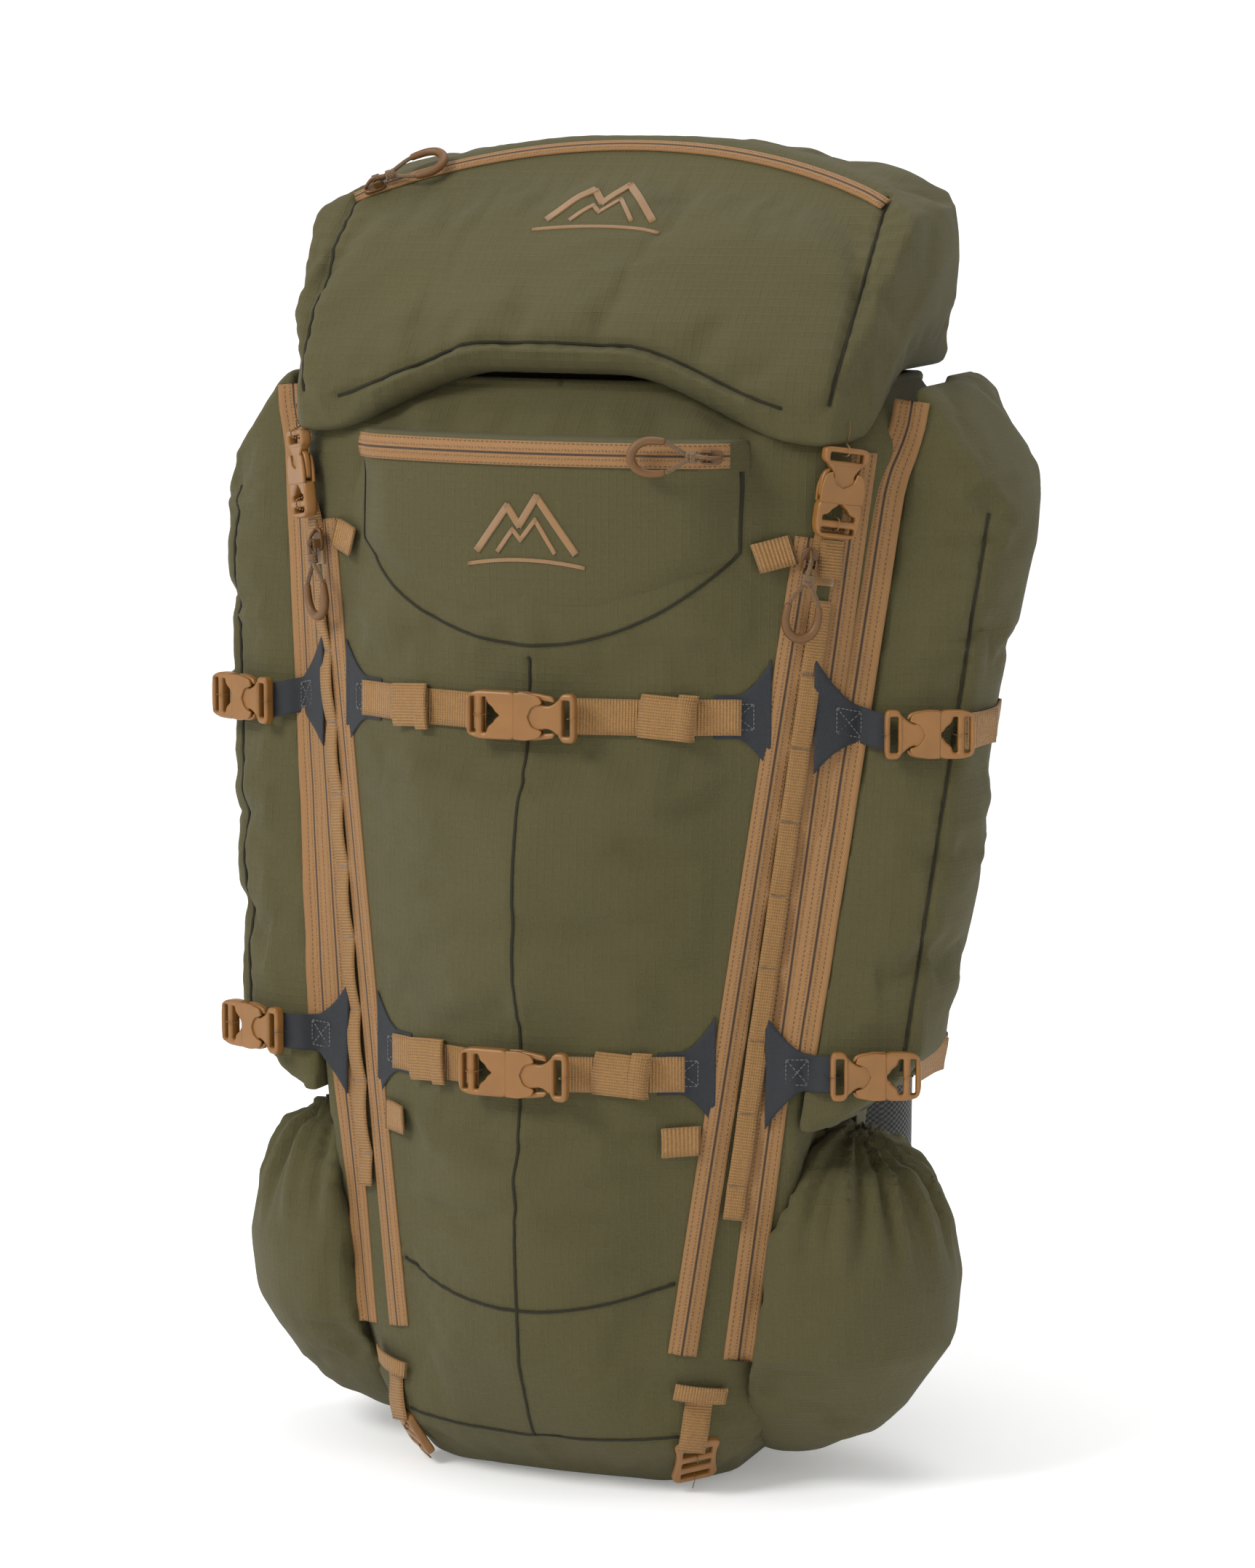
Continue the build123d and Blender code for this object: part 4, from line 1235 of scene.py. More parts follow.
def flat_frame(node, axis, end=None):
    """A flat part's own frame: X along the axis, Z through its thickness and away from the pack.

    Its origin is the part's middle, or, where end is given, that far back from the part's end along X.
    """
    co = node_points(node)
    middle = co.mean(axis=0)
    spread = co - middle
    thin = Vector(np.linalg.eigh(spread.T @ spread)[1][:, 0])
    axis = Vector(axis).normalized()
    out = (thin - axis * thin.dot(axis)).normalized()
    if out.dot(Vector(middle) - Vector((0.0, 0.10, middle[2]))) < 0:
        out = -out
    up = out.cross(axis)
    origin = Vector()
    for direction in (axis, out, up):
        along = co @ np.array(direction)
        from_end = end is not None and direction is axis
        origin += direction * (along.max() - end if from_end else (along.max() + along.min()) / 2)
    return Matrix.Translation(origin) @ Matrix((axis, up, out)).transposed().to_4x4()


def buckle_frame(clip, end, scale=1.0):
    """The buckle's own frame, found from its clip: X out of the socket, Z away from the pack."""
    return flat_frame(clip, joint(f"{clip}_release")["axis"], end * MM * scale)


def add_buckle(name, clip, start, end, scale=1.0):
    """A side-release buckle: the socket on the pack, and the clip on its own body."""
    place = buckle_frame(clip, end, scale)
    size = MM * scale
    window = rounded([
        (start + 12.4, -12.4, 1.2), (start + 12.4, 12.4, 1.2), (start + 15.6, 12.4, 1.5),
        (start + 16.4, 8.4, 2.5), (start + 20.6, 5.2, 2.0), (start + 22.0, 2.6, 1.5),
        (start + 25.5, 0.0, 1.0), (start + 22.0, -2.6, 1.5), (start + 20.6, -5.2, 2.0),
        (start + 16.4, -8.4, 2.5), (start + 15.6, -12.4, 1.5),
    ], 1.0)
    holes = [slot_hole(start + 5.6, 0, 3.8, 25), window]
    body = rounded(both_halves([
        (-6.0, 0.0, 0), (-6.0, 15.0, 2.0), (-10.0, 17.0, 3.0), (start + 9, 17.0, 5.0),
        (start + 1.5, 14.5, 5.0), (start, 8.0, 4.0),
    ]), 2.0)
    socket = moulding(f"{name}_socket", body, holes, 9.0, 1.9, place, "acetal", "pack", scale=size)
    wings = rounded(both_halves([
        (3.0, 0.0, 0), (6.0, 7.0, 3.0), (14.0, 9.6, 1.6), (12.0, 14.4, 3.0), (2.0, 16.8, 3.0),
        (-7.5, 16.4, 1.0), (-7.5, 0.0, 0),
    ]), 1.5)
    for word, level in (("top", 3.6), ("low", -3.6)):
        moulding(f"{name}_jaw_{word}", wings, [], 2.4, 0.8, place, "acetal", "pack", level, size)
    gap = slot_hole(end - 6.6, 0, 5.6, 25)
    frame_end = rounded(both_halves([
        (end - 13, 0, 0), (end - 12.5, 12.5, 3.0), (end - 9.5, 17.2, 3.0), (end - 1.5, 17.2, 2.5),
        (end, 13.0, 2.5),
    ]), 2.5)
    waist = rounded(both_halves([
        (end - 11, 0, 0), (end - 10.4, 14.6, 2.0), (end - 16, 9.5, 4.0), (end - 21, 7.6, 5.0),
        (8.5, 10.4, 3.0), (2.0, 9.0, 2.0), (2.0, 0.0, 0),
    ]), 2.0)
    plug = moulding(f"{name}_clip_frame", frame_end, [gap], 7.6, 1.8, place, "acetal", clip, 0.0, size)
    moulding(f"{name}_clip_waist", waist, [], 6.4, 1.4, place, "acetal", clip, 0.0, size)
    arm = [
        (end - 15, 10.5, 1.5), (end - 17, 14.6, 2.0), (8, 16.6, 4.0), (-3, 16.4, 2.0), (-5, 13.4, 1.5),
        (4, 12.6, 3.0), (9, 12.0, 3.0),
    ]
    for side, word in ((1, "a"), (-1, "b")):
        shape = rounded([(x, side * y, r) for x, y, r in arm[::side]], 2.0)
        moulding(f"{name}_prong_{word}", shape, [], 4.4, 1.4, place, "acetal", clip, 0.0, size)
    return place, size, socket, plug


def threaded(name, place, size, profile, width, key, body):
    """Webbing bent round a bar: its line is given in the buckle's X and Z, in millimetres."""
    line = curve_through([(x, 0.0, z) for x, z in profile], 6)
    total = lengths_along(line)
    thick = 1.3
    points = []
    flat = []
    columns = 5
    for i, point in enumerate(line):
        run = (line[min(i + 1, len(line) - 1)] - line[max(i - 1, 0)]).normalized()
        up = Vector((-run.z, 0, run.x))
        half = width / 2 / (size * 1000)
        row = [(-half, 0), *((half * (2 * j / (columns - 1) - 1), thick) for j in range(columns)), (half, 0)]
        row += [(half * (1 - 2 * j / (columns - 1)), 0.0) for j in range(1, columns - 1)]
        for y, lift in row:
            points.append(place @ ((point + Vector((0, y, 0)) + up * lift) * size))
            flat.append((total[i] * size, y * size))
    ring = len(row)
    faces = skin(len(line), ring) + end_faces(len(line), ring)
    return piece(name, points, faces, key, body, flat)


# ---------------------------------------------------------------- zips
def zip_crown(offset):
    """The raised middle of a zip, where the coil lies under the tape."""
    return 0.0011 * max(0.0, 1.0 - (abs(offset) / 0.0052) ** 4)


def facing(degrees, side=1):
    """A level direction, turned from straight ahead towards the pack's own side."""
    turn = math.radians(degrees)
    return Vector((side * math.sin(turn), -math.cos(turn), 0.0))


def front_pocket_arc(height, half, steps=40):
    """The curve of the front pocket's face, and how far it turns."""
    centre = Vector(joint("front_pocket_zip_run")["pos_m"])
    radius = centre.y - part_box("front_pocket")[0].y
    limit = math.asin(half / radius)
    out = []
    for i in range(steps + 1):
        turn = limit * (2 * i / steps - 1)
        out.append(Vector((radius * math.sin(turn), centre.y - radius * math.cos(turn), height)))
    return out


def seam_shadow_line(name, path, outward, body="pack", tree=None):
    """A dark strip along where two panels meet: painted shadow of the seam's groove."""
    ribbon(
        name, path, outward, 0.0019, "stitch", body, lift=0.0, thick=0.0009, tree=tree, columns=3, calm=0,
        step=0.004, slot="olive_ripstop",
    )


class BACKPACK_OT_seams(bpy.types.Operator):
    """Adds dark strips of painted shadow along the seams where the panels meet and along the lid's fold"""

    bl_idname = "backpack.seams"
    bl_label = "Seams"

    def execute(self, context):
        for number, path in enumerate(bag_seams()):
            seam_shadow_line(f"front_seam_shadow_{number + 1}", [Vector(p) for p in path], AHEAD)
        low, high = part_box("front_pocket")
        rim = []
        for i in range(41):
            x = (high.x - 0.003) * (i / 20 - 1)
            rim.append(Vector((x, low.y, float(pocket_rim(np.array(x))) + 0.002)))
        rim = [Vector((rim[0].x, low.y, high.z - 0.022)), *rim, Vector((rim[-1].x, low.y, high.z - 0.022))]
        seam_shadow_line("front_pocket_seam_shadow", rim, AHEAD)
        fold, *ends = lid_seams()
        seam_shadow_line("lid_fold_seam_shadow", fold, LID_FRONT_OUTWARD, "lid", lid_surface())
        for (side, word), path in zip(SIDES, ends):
            seam_shadow_line(f"lid_seam_shadow_{word}", path, lid_end_outward(side), "lid", lid_surface())
        for side, word in SIDES:
            seam_shadow_line(f"side_pocket_seam_shadow_{word}", side_pocket_seam(side), (side * 0.25, -1, 0))
        return {"FINISHED"}


def zip_shift(name, z):
    """How far out from its seam a long zip's tape is sewn, so that two zips lie side by side."""
    if name == "gusset":
        return 0.0045
    if name == "side_pocket":
        return -0.0065 * ease((0.765 - z) / 0.05)
    return 0.0


class BACKPACK_OT_zips(bpy.types.Operator):
    """Adds the zips up the corners, on the pockets and round the lid"""

    bl_idname = "backpack.zips"
    bl_label = "Zips"

    def execute(self, context):
        runs = (
            ("corner", "corner_zips", FRONT_ZIP, 0.108, 0.684, 14, 0.020, 0.0004),
            ("gusset", "gusset_zips", GUSSET_ZIP, 0.102, 0.742, 14, 0.021, 0.0004),
            ("side_pocket", "side_pocket_zips", POCKET_ZIP, 0.300, 0.776, 2, 0.025, 0.0016),
        )
        for name, node, seam, low, high, turn, width, lift in runs:
            for side, word in SIDES:
                path = seam_path(seam, low, high, side, 30)
                for point in path:
                    point.x += side * zip_shift(name, point.z)
                made = self.add_tape(f"{name}_zip_{word}", path, facing(turn, side), width, lift=lift, calm=4)
            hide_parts(node)
        low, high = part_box("front_pocket_zip")
        centre = Vector(joint("front_pocket_zip_run")["pos_m"])
        arc = front_pocket_arc((low.z + high.z) / 2, high.x + 0.001)
        made = self.add_tape(
            "front_pocket_zip_tape", arc, lambda p: Vector((p.x - centre.x, p.y - centre.y, 0.0)), 0.017
        )
        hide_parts("front_pocket_zip")
        middle, normal = lid_plane()
        limit = math.radians(30.5)
        arc = []
        for i in range(61):
            turn = limit * (i / 30 - 1)
            spot = Vector((math.sin(turn), 0.0, 0.0)) + lid_up() * math.cos(turn)
            arc.append(middle + spot * arch_radius())
        made = self.add_tape("lid_zip_tape", arc, normal, 0.0105, body="lid", tree=lid_surface())
        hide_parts("lid_zip")
        return {"FINISHED"}

    def add_tape(self, name, path, outward, width, lift=0.0006, **laid):
        return ribbon(
            name, path, outward, width, "tape", lift=lift, thick=0.0010, columns=9, crown=zip_crown,
            slot="zip_tape", **laid,
        )


# ---------------------------------------------------------------- webbing
def narrow_face(z, side=1, share=0.5):
    """A point on the narrow face between the corner zip and the gusset zip."""
    return seam_point(FRONT_ZIP, z, side).lerp(seam_point(GUSSET_ZIP, z, side), share)


DAISY_PITCH = 0.052
DAISY_TOP = 0.640


def daisy_wave(s, total):
    """A daisy chain stands proud between its bartacks."""
    return 0.0034 * abs(math.sin(math.pi * s / DAISY_PITCH)) ** 0.8


def bow(height):
    """Rises to a height in the middle of a short strip and comes down at both ends."""
    return lambda s, total: height * math.sin(math.pi * min(1.0, s / total)) ** 0.5


def side_angle(place, side):
    """Where a place lies round a side pocket, in degrees from straight ahead."""
    centre = pocket_centre(side)
    return math.degrees(math.atan2(side * (place.x - centre.x), centre.y - place.y))


def pocket_centre(side):
    low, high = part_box(f"side_pocket_{word_of(side)}")
    return Vector(((low.x + high.x) / 2, (low.y + high.y) / 2, 0.0))


def first_met(place, direction):
    """The place where a line meets the cloth, or its own start if it misses."""
    found = surface().ray_cast(place, direction)[0]
    return found if found is not None else place


def around_pocket(z, side, start, end, steps=24):
    """A level line round the outside of a side pocket, from one angle to another."""
    centre = pocket_centre(side)
    out = []
    for i in range(steps + 1):
        direction = facing(start + (end - start) * i / steps, side)
        place = Vector((centre.x, centre.y, z)) + direction * 0.14
        out.append(first_met(place, -direction))
    return out


def to_back(path, side, steps=16):
    """Carries a level line on along the pack's side as far as its back."""
    last = path[-1]
    out = list(path)
    for i in range(1, steps + 1):
        y = last.y + (0.112 - last.y) * i / steps
        place = Vector((side * 0.40, y, last.z))
        out.append(first_met(place, Vector((-side, 0, 0))))
    return out


def outward_of_pocket(side):
    """Which way a strap faces round a side pocket: away from its middle in front, and sideways behind."""
    centre = pocket_centre(side)

    def outward(place):
        away = Vector((place.x - centre.x, place.y - centre.y, 0.0)).normalized()
        share = ease((place.y - centre.y + 0.01) / 0.03)
        return away.lerp(Vector((side, 0.0, 0.0)), share)

    return outward


class BACKPACK_OT_webbing(bpy.types.Operator):
    """Adds the compression straps, keepers, daisy chains, tabs and patches"""

    bl_idname = "backpack.webbing"
    bl_label = "Webbing and patches"

    def execute(self, context):
        for tag, z in (("upper", UPPER_STRAP), ("lower", LOWER_STRAP)):
            self.add_front_strap(tag, z)
            for side in (1, -1):
                self.add_side_strap(tag, SIDE_STRAPS[tag], side)
                self.add_patches(tag, z, side)
        for side in (1, -1):
            self.add_daisy(side)
            self.add_lid_anchor(side)
            self.add_tabs(side)
        return {"FINISHED"}

    def add_front_strap(self, tag, z):
        reach = seam_point(FRONT_ZIP, z).x - 0.024
        for side, inner in ((1, 0.033), (-1, 0.031)):
            path = [Vector((side * (inner + (reach - inner) * i / 20), -0.13, z)) for i in range(21)]
            made = ribbon(
                f"{tag}_front_strap_{word_of(side)}", path, AHEAD, WEB, "webbing", lift=0.0010,
                thick=0.0016, calm=4, wave=lambda s, total: 0.0040 * math.exp(-s / 0.016),
            )
        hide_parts(f"{tag}_front_strap")
        places = (-0.096, 0.098) if tag == "upper" else (-0.076, 0.072)
        widths = (0.030, 0.037)
        for number, (x, width) in enumerate(zip(places, widths)):
            lean = 0.0012 if number else -0.0010
            made = ribbon(
                f"{tag}_keeper_{number + 1}", self.upright(x, z, lean, 0.0150), AHEAD, width, "webbing",
                lift=0.0024, thick=0.0022, wave=bow(0.0030), step=0.003,
            )
            ribbon(
                f"{tag}_keeper_end_{number + 1}", self.upright(x + width * 0.36, z, lean, 0.0160), AHEAD,
                width * 0.34, "webbing", lift=0.0048, thick=0.0020, wave=bow(0.0030), step=0.003,
            )
        if tag == "upper":
            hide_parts("strap_keepers")

    def upright(self, x, z, lean, half):
        """A short line across a front strap, which leans a little."""
        return [Vector((x + lean * t, -0.13, z + half * t)) for t in (-1, -0.5, 0, 0.5, 1)]

    def add_side_strap(self, tag, z, side):
        word = word_of(side)
        place = buckle_frame(f"{tag}_side_clip_{word}", SHORT_END)
        start = side_angle(place @ Vector((-0.026, 0.0, 0.0)), side)
        path = to_back(around_pocket(z, side, start, 84.0), side)
        outward = outward_of_pocket(side)
        made = ribbon(
            f"{tag}_side_strap_{word}", path, outward, WEB, "webbing", lift=0.0012, thick=0.0016, calm=3,
        )
        tail = around_pocket(z + 0.0012, side, start + 2, start + 34, 12)
        ribbon(
            f"{tag}_side_tail_{word}", tail, outward, WEB - 0.001, "webbing", lift=0.0034, thick=0.0016,
            wave=lambda s, total: 0.004 * (s / total) ** 3, calm=3,
        )
        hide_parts(f"{tag}_side_straps")

    def add_patches(self, tag, z, side):
        word = word_of(side)
        bar = buckle_frame(f"{tag}_side_clip_{word}", SHORT_END) @ Vector((0.0285, 0.0, 0.0))
        made = add_kite(
            f"{tag}_outer_patch_{word}", narrow_face(z, side, 0.87), bar, 0.041, 0.0128, facing(16, side),
            0.0046, (0.30, 0.62), bar,
        )
        zip_edge = seam_point(FRONT_ZIP, z, side) + Vector((side * -0.006, 0, 0))
        strap_end = zip_edge - Vector((side * 0.036, 0, 0))
        add_kite(
            f"{tag}_inner_patch_{word}", zip_edge, strap_end, 0.040, 0.0150, facing(0, side), 0.0002,
            (0.30, 0.86), None,
        )
        if tag == "upper" and side > 0:
            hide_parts("strap_patches")

    def add_daisy(self, side):
        word = word_of(side)
        outward = facing(26, side)
        path = [narrow_face(DAISY_TOP - 0.435 * i / 40, side, 0.60) for i in range(41)]
        made = ribbon(
            f"daisy_chain_{word}", path, outward, 0.0145, "webbing", lift=0.0008, thick=0.0016,
            wave=daisy_wave, step=0.004, calm=3,
        )
        if side > 0:
            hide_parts("daisy_chains")
        for number in range(1, 9):
            z = DAISY_TOP - DAISY_PITCH * number * 0.986
            middle = narrow_face(z, side, 0.60)
            across = outward.cross(UP)
            for row, step in (("a", -0.0011), ("b", 0.0011)):
                line = [middle + across * (0.0062 * t) + Vector((0, 0, step)) for t in (-1, 0, 1)]
                ribbon(
                    f"bartack_{word}_{number}_{row}", line, outward, 0.0014, "tan_stitch", lift=0.0022,
                    thick=0.0006, step=0.003,
                )

    def add_lid_anchor(self, side):
        """The web that holds a lid buckle's socket, its fastening patch and its folded tail."""
        word = word_of(side)
        place = buckle_frame(f"lid_clip_{word}", SHORT_END)
        outward = place.to_3x3().col[2]
        line = [place @ Vector((x, 0.0, 0.0)) for x in (-0.020, -0.030, -0.040, -0.050)]
        ribbon(
            f"lid_anchor_{word}", line, outward, 0.021, "webbing", lift=0.0012, thick=0.0016, step=0.004,
            wave=lambda s, total: 0.004 * math.exp(-s / 0.012),
        )
        patch = [place @ Vector((x, 0.0, 0.0)) for x in (-0.051, -0.058, -0.066)]
        ribbon(
            f"lid_fastener_{word}", patch, outward, 0.018, "fleece", lift=0.0010, thick=0.0016, step=0.003
        )
        fold = [place @ Vector((x, side * -0.003, 0.0)) for x in (-0.034, -0.046, -0.060)]
        ribbon(
            f"lid_anchor_tail_{word}", fold, outward, 0.017, "webbing", lift=0.0034, thick=0.0016, step=0.004,
            wave=lambda s, total: 0.006 * (s / total) ** 2,
        )

    def add_tabs(self, side):
        word = word_of(side)
        for tag, z, drop in (("upper", 0.676, 0.006), ("lower", 0.262, 0.0)):
            edge = seam_point(FRONT_ZIP, z, side) + Vector((side * -0.008, 0, 0))
            outer = edge + Vector((side * -0.020, 0.0, -drop))
            path = curve_through([edge, edge.lerp(outer, 0.5), outer], 4)
            made = ribbon(
                f"{tag}_tab_{word}", path, (side * -0.10, -1, 0), 0.021, "webbing", lift=0.0010, thick=0.0034,
                wave=lambda s, total: 0.0050 * (s / total) ** 1.5, step=0.003,
            )
        if side > 0:
            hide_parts("tool_tabs")


BAR_DEPTH = 0.0064  # how far a patch stays behind the middle of a buckle's bar


def add_kite(name, wide_end, thin_end, tall, low_tall, outward, lift, box, bar):
    """A patch with hollow edges, tall at one end and as tall as the strap at the other.

    It is sewn down with a crossed box. Where it runs under a buckle's bar, it rises to that bar's back.
    """
    columns, rows = 26, 15
    run = thin_end - wide_end
    places = []
    for i in range(columns):
        s = i / (columns - 1)
        half = low_tall + (tall - low_tall) * max(0.0, 1 - s / 0.62) ** 1.7
        middle = wide_end + run * s
        places.append([middle + UP * (half * (2 * j / (rows - 1) - 1)) for j in range(rows)])
    outs = [outward] * columns
    found = heights_on_cloth(places, outs, None, 5) + lift
    if bar is not None:
        for i in range(columns):
            s = i / (columns - 1)
            level = (bar - places[i][rows // 2]).dot(outward) - BAR_DEPTH
            share = ease((s - 0.55) / 0.45)
            found[i] = found[i] * (1 - share) + np.maximum(found[i], level) * share
    thick = 0.0012
    top, low, flat = [], [], []
    for i in range(columns):
        for j in range(rows):
            top.append(places[i][j] + outward * (found[i][j] + thick))
            low.append(places[i][j] + outward * found[i][j])
            flat.append((run.length * i / (columns - 1), (places[i][j] - places[i][rows // 2]).z))
    faces = turned_over(skin(columns, rows, around=False))
    rim = list(range(rows)) + [i * rows + rows - 1 for i in range(1, columns)]
    rim += [(columns - 1) * rows + j for j in range(rows - 2, -1, -1)]
    rim += [i * rows for i in range(columns - 2, 0, -1)]
    offset = len(top)
    for a, b in zip(rim, rim[1:] + rim[:1]):
        faces.append((a, b, b + offset, a + offset))
    made = piece(name, top + low, faces, "patch", "pack", flat + flat)

    def spot(s, t):
        i = min(columns - 1, max(0, s * (columns - 1)))
        a, b = int(i), min(columns - 1, int(i) + 1)
        middle = wide_end + run * s
        level = found[a][rows // 2] * (1 - i + a) + found[b][rows // 2] * (i - a)
        return middle + UP * t + outward * (level + thick + 0.0002)

    left, right = box
    tall_box = 0.0090
    corners = [(left, -tall_box), (right, -tall_box), (right, tall_box), (left, tall_box), (left, -tall_box)]
    stitches(f"{name}_box", [[spot(s, t) for s, t in corners]], outward, "grey_stitch")
    crossed = [[spot(left, -tall_box), spot(right, tall_box)], [spot(left, tall_box), spot(right, -tall_box)]]
    stitches(f"{name}_cross", crossed, outward, "grey_stitch")
    return made


def stitches(name, lines, outward, key, body="pack", pitch=None, width=0.0007):
    """Single stitches along lines, each a small raised lozenge."""
    pitch = pitch or sizes().stitch
    points = []
    faces = []
    for line in lines:
        for a, b in zip(line, line[1:]):
            count = max(1, round((b - a).length / pitch))
            for i in range(count):
                start = a.lerp(b, (i + 0.12) / count)
                end = a.lerp(b, (i + 0.88) / count)
                side = (end - start).normalized().cross(Vector(outward)).normalized() * width / 2
                out = Vector(outward) * width * 0.9
                base = len(points)
                points += [start, start + side + (end - start) * 0.15, end + side - (end - start) * 0.15, end,
                           end - side - (end - start) * 0.15, start - side + (end - start) * 0.15,
                           start.lerp(end, 0.25) + out, start.lerp(end, 0.75) + out]
                faces += [(base, base + 1, base + 6), (base + 1, base + 2, base + 7, base + 6),
                          (base + 2, base + 3, base + 7), (base + 3, base + 4, base + 7),
                          (base + 4, base + 5, base + 6, base + 7), (base + 5, base, base + 6)]
    return piece(name, points, faces, key, body)


# ---------------------------------------------------------------- hardware
# Where a buckle's socket starts and its clip ends, along its own X in millimetres.
LONG_BUCKLE = (-44.0, 38.0)
SHORT_BUCKLE = (-32.0, 31.0)
SHORT_END = SHORT_BUCKLE[1]
# Each buckle's name, its clip, its length, its scale and the node that its socket replaces.
BUCKLES = (
    ("upper_front_buckle", "upper_front_clip", LONG_BUCKLE, 1.0, "front_buckle_sockets"),
    ("lower_front_buckle", "lower_front_clip", LONG_BUCKLE, 1.0, "front_buckle_sockets"),
    ("upper_side_buckle_right", "upper_side_clip_right", SHORT_BUCKLE, 1.0, "side_buckle_sockets"),
    ("upper_side_buckle_left", "upper_side_clip_left", SHORT_BUCKLE, 1.0, "side_buckle_sockets"),
    ("lower_side_buckle_right", "lower_side_clip_right", SHORT_BUCKLE, 1.0, "side_buckle_sockets"),
    ("lower_side_buckle_left", "lower_side_clip_left", SHORT_BUCKLE, 1.0, "side_buckle_sockets"),
    ("lid_buckle_right", "lid_clip_right", SHORT_BUCKLE, 1.0, "lid_buckle_sockets"),
    ("lid_buckle_left", "lid_clip_left", SHORT_BUCKLE, 1.0, "lid_buckle_sockets"),
    ("sternum_buckle", "sternum_clip", LONG_BUCKLE, 0.8, "sternum_socket"),
    ("hip_buckle", "hip_clip", LONG_BUCKLE, 1.45, "hip_socket"),
)


class BACKPACK_OT_buckles(bpy.types.Operator):
    """Adds the side-release buckles and the webbing threaded through them"""

    bl_idname = "backpack.buckles"
    bl_label = "Buckles"

    def execute(self, context):
        done = set()
        for name, clip, (start, end), scale, sockets in BUCKLES:
            place, size, socket, plug = add_buckle(name, clip, start, end, scale)
            if sockets not in done:
                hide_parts(sockets)
                done.add(sockets)
            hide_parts(clip)
            bar = start + 9.9
            over = [
                (bar + 5.6, -5.0), (bar + 5.2, 1.0), (bar + 3.6, 5.2), (bar, 6.4), (bar - 3.2, 5.4),
                (bar - 4.6, 1.0), (bar - 5.0, -5.0),
            ]
            threaded(f"{name}_web_socket", place, size, over, 0.0235 * scale, "webbing", "pack")
            rim = end - 2.2
            loop = [
                (rim + 7.0, -4.8), (rim + 4.6, 1.0), (rim + 2.4, 5.4), (rim - 0.6, 6.2), (rim - 3.0, 5.0),
                (rim - 4.2, 0.0), (rim - 4.0, -5.0),
            ]
            on_patch = "_side_" in name
            threaded(
                f"{name}_web_clip", place, size, loop, 0.0235 * scale, "patch" if on_patch else "webbing",
                clip,
            )
        return {"FINISHED"}


FOOT_WEB = 0.0200


class BACKPACK_OT_ladder_locks(bpy.types.Operator):
    """Adds the ladder locks at the foot of the pack, with their webbing"""

    bl_idname = "backpack.ladder_locks"
    bl_label = "Ladder locks"

    def execute(self, context):
        for _, word in SIDES:
            node = f"ladder_lock_{word}"
            turn_axis = Vector(joint(f"{node}_tilt")["axis"])
            across = flat_frame(node, turn_axis)
            out = across.to_3x3().col[2]
            along = turn_axis.cross(out).normalized()
            if along.z < 0:
                along = -along
            place = flat_frame(node, along)
            shape = rounded([
                (-20, -13, 4), (-16, -17, 4), (-6, -15, 5), (8, -14.5, 5), (17, -17, 4), (20, -12, 3),
                (20, 12, 3), (17, 17, 4), (8, 14.5, 5), (-6, 15, 5), (-16, 17, 4), (-20, 13, 4),
            ], 3.0)
            slots = ((-13.4, 5.2), (-2.2, 5.6), (9.8, 7.0))
            holes = [list(reversed(slot_hole(x, 0, wide, 21.5))) for x, wide in slots]
            made = moulding(f"{node}_frame", shape, holes, 6.2, 1.7, place, "acetal", node)
            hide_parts(node)
            thread = [
                (17, -4.5), (11.5, -3.2), (8.0, 0.5), (5.8, 4.6), (3.0, 5.2), (0.6, 3.6), (-2.4, -3.4),
                (-7.6, -4.4), (-12, -2.0), (-15, 2.8), (-17, 3.2),
            ]
            threaded(f"{node}_web", place, MM, thread, FOOT_WEB, "webbing", node)
            hanging = [(-16, 3.3), (-20, 3.4), (-30, 1.4), (-38, 1.0)]
            threaded(f"{node}_tail", place, MM, hanging, FOOT_WEB, "webbing", "pack")
        for side, word in SIDES:
            outward = facing(32, side)
            path = [narrow_face(0.075 - 0.040 * i / 8, side, 0.5) for i in range(9)]
            made = ribbon(
                f"foot_web_{word}", path, outward, FOOT_WEB, "webbing", lift=0.0012, thick=0.0018,
                wave=lambda s, total: 0.005 * (s / total) ** 2, step=0.004,
            )
            along = outward.cross(UP) * 0.019 + Vector((0, 0, 0.003))
            middle = narrow_face(0.078, side, 0.5)
            flap = [middle + along * t for t in (-1, -0.5, 0, 0.5, 1)]
            ribbon(
                f"foot_tab_{word}", flap, outward, 0.012, "webbing", lift=0.0034, thick=0.0020,
                wave=bow(0.003), step=0.004,
            )
        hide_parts("bottom_webs")
        return {"FINISHED"}


def placed(line, place):
    """A line given in millimetres in a place's own frame, as points in metres on the pack."""
    return [place @ (p * MM) for p in line]


PULLS = ("corner_right", "corner_left", "front_pocket", "lid")


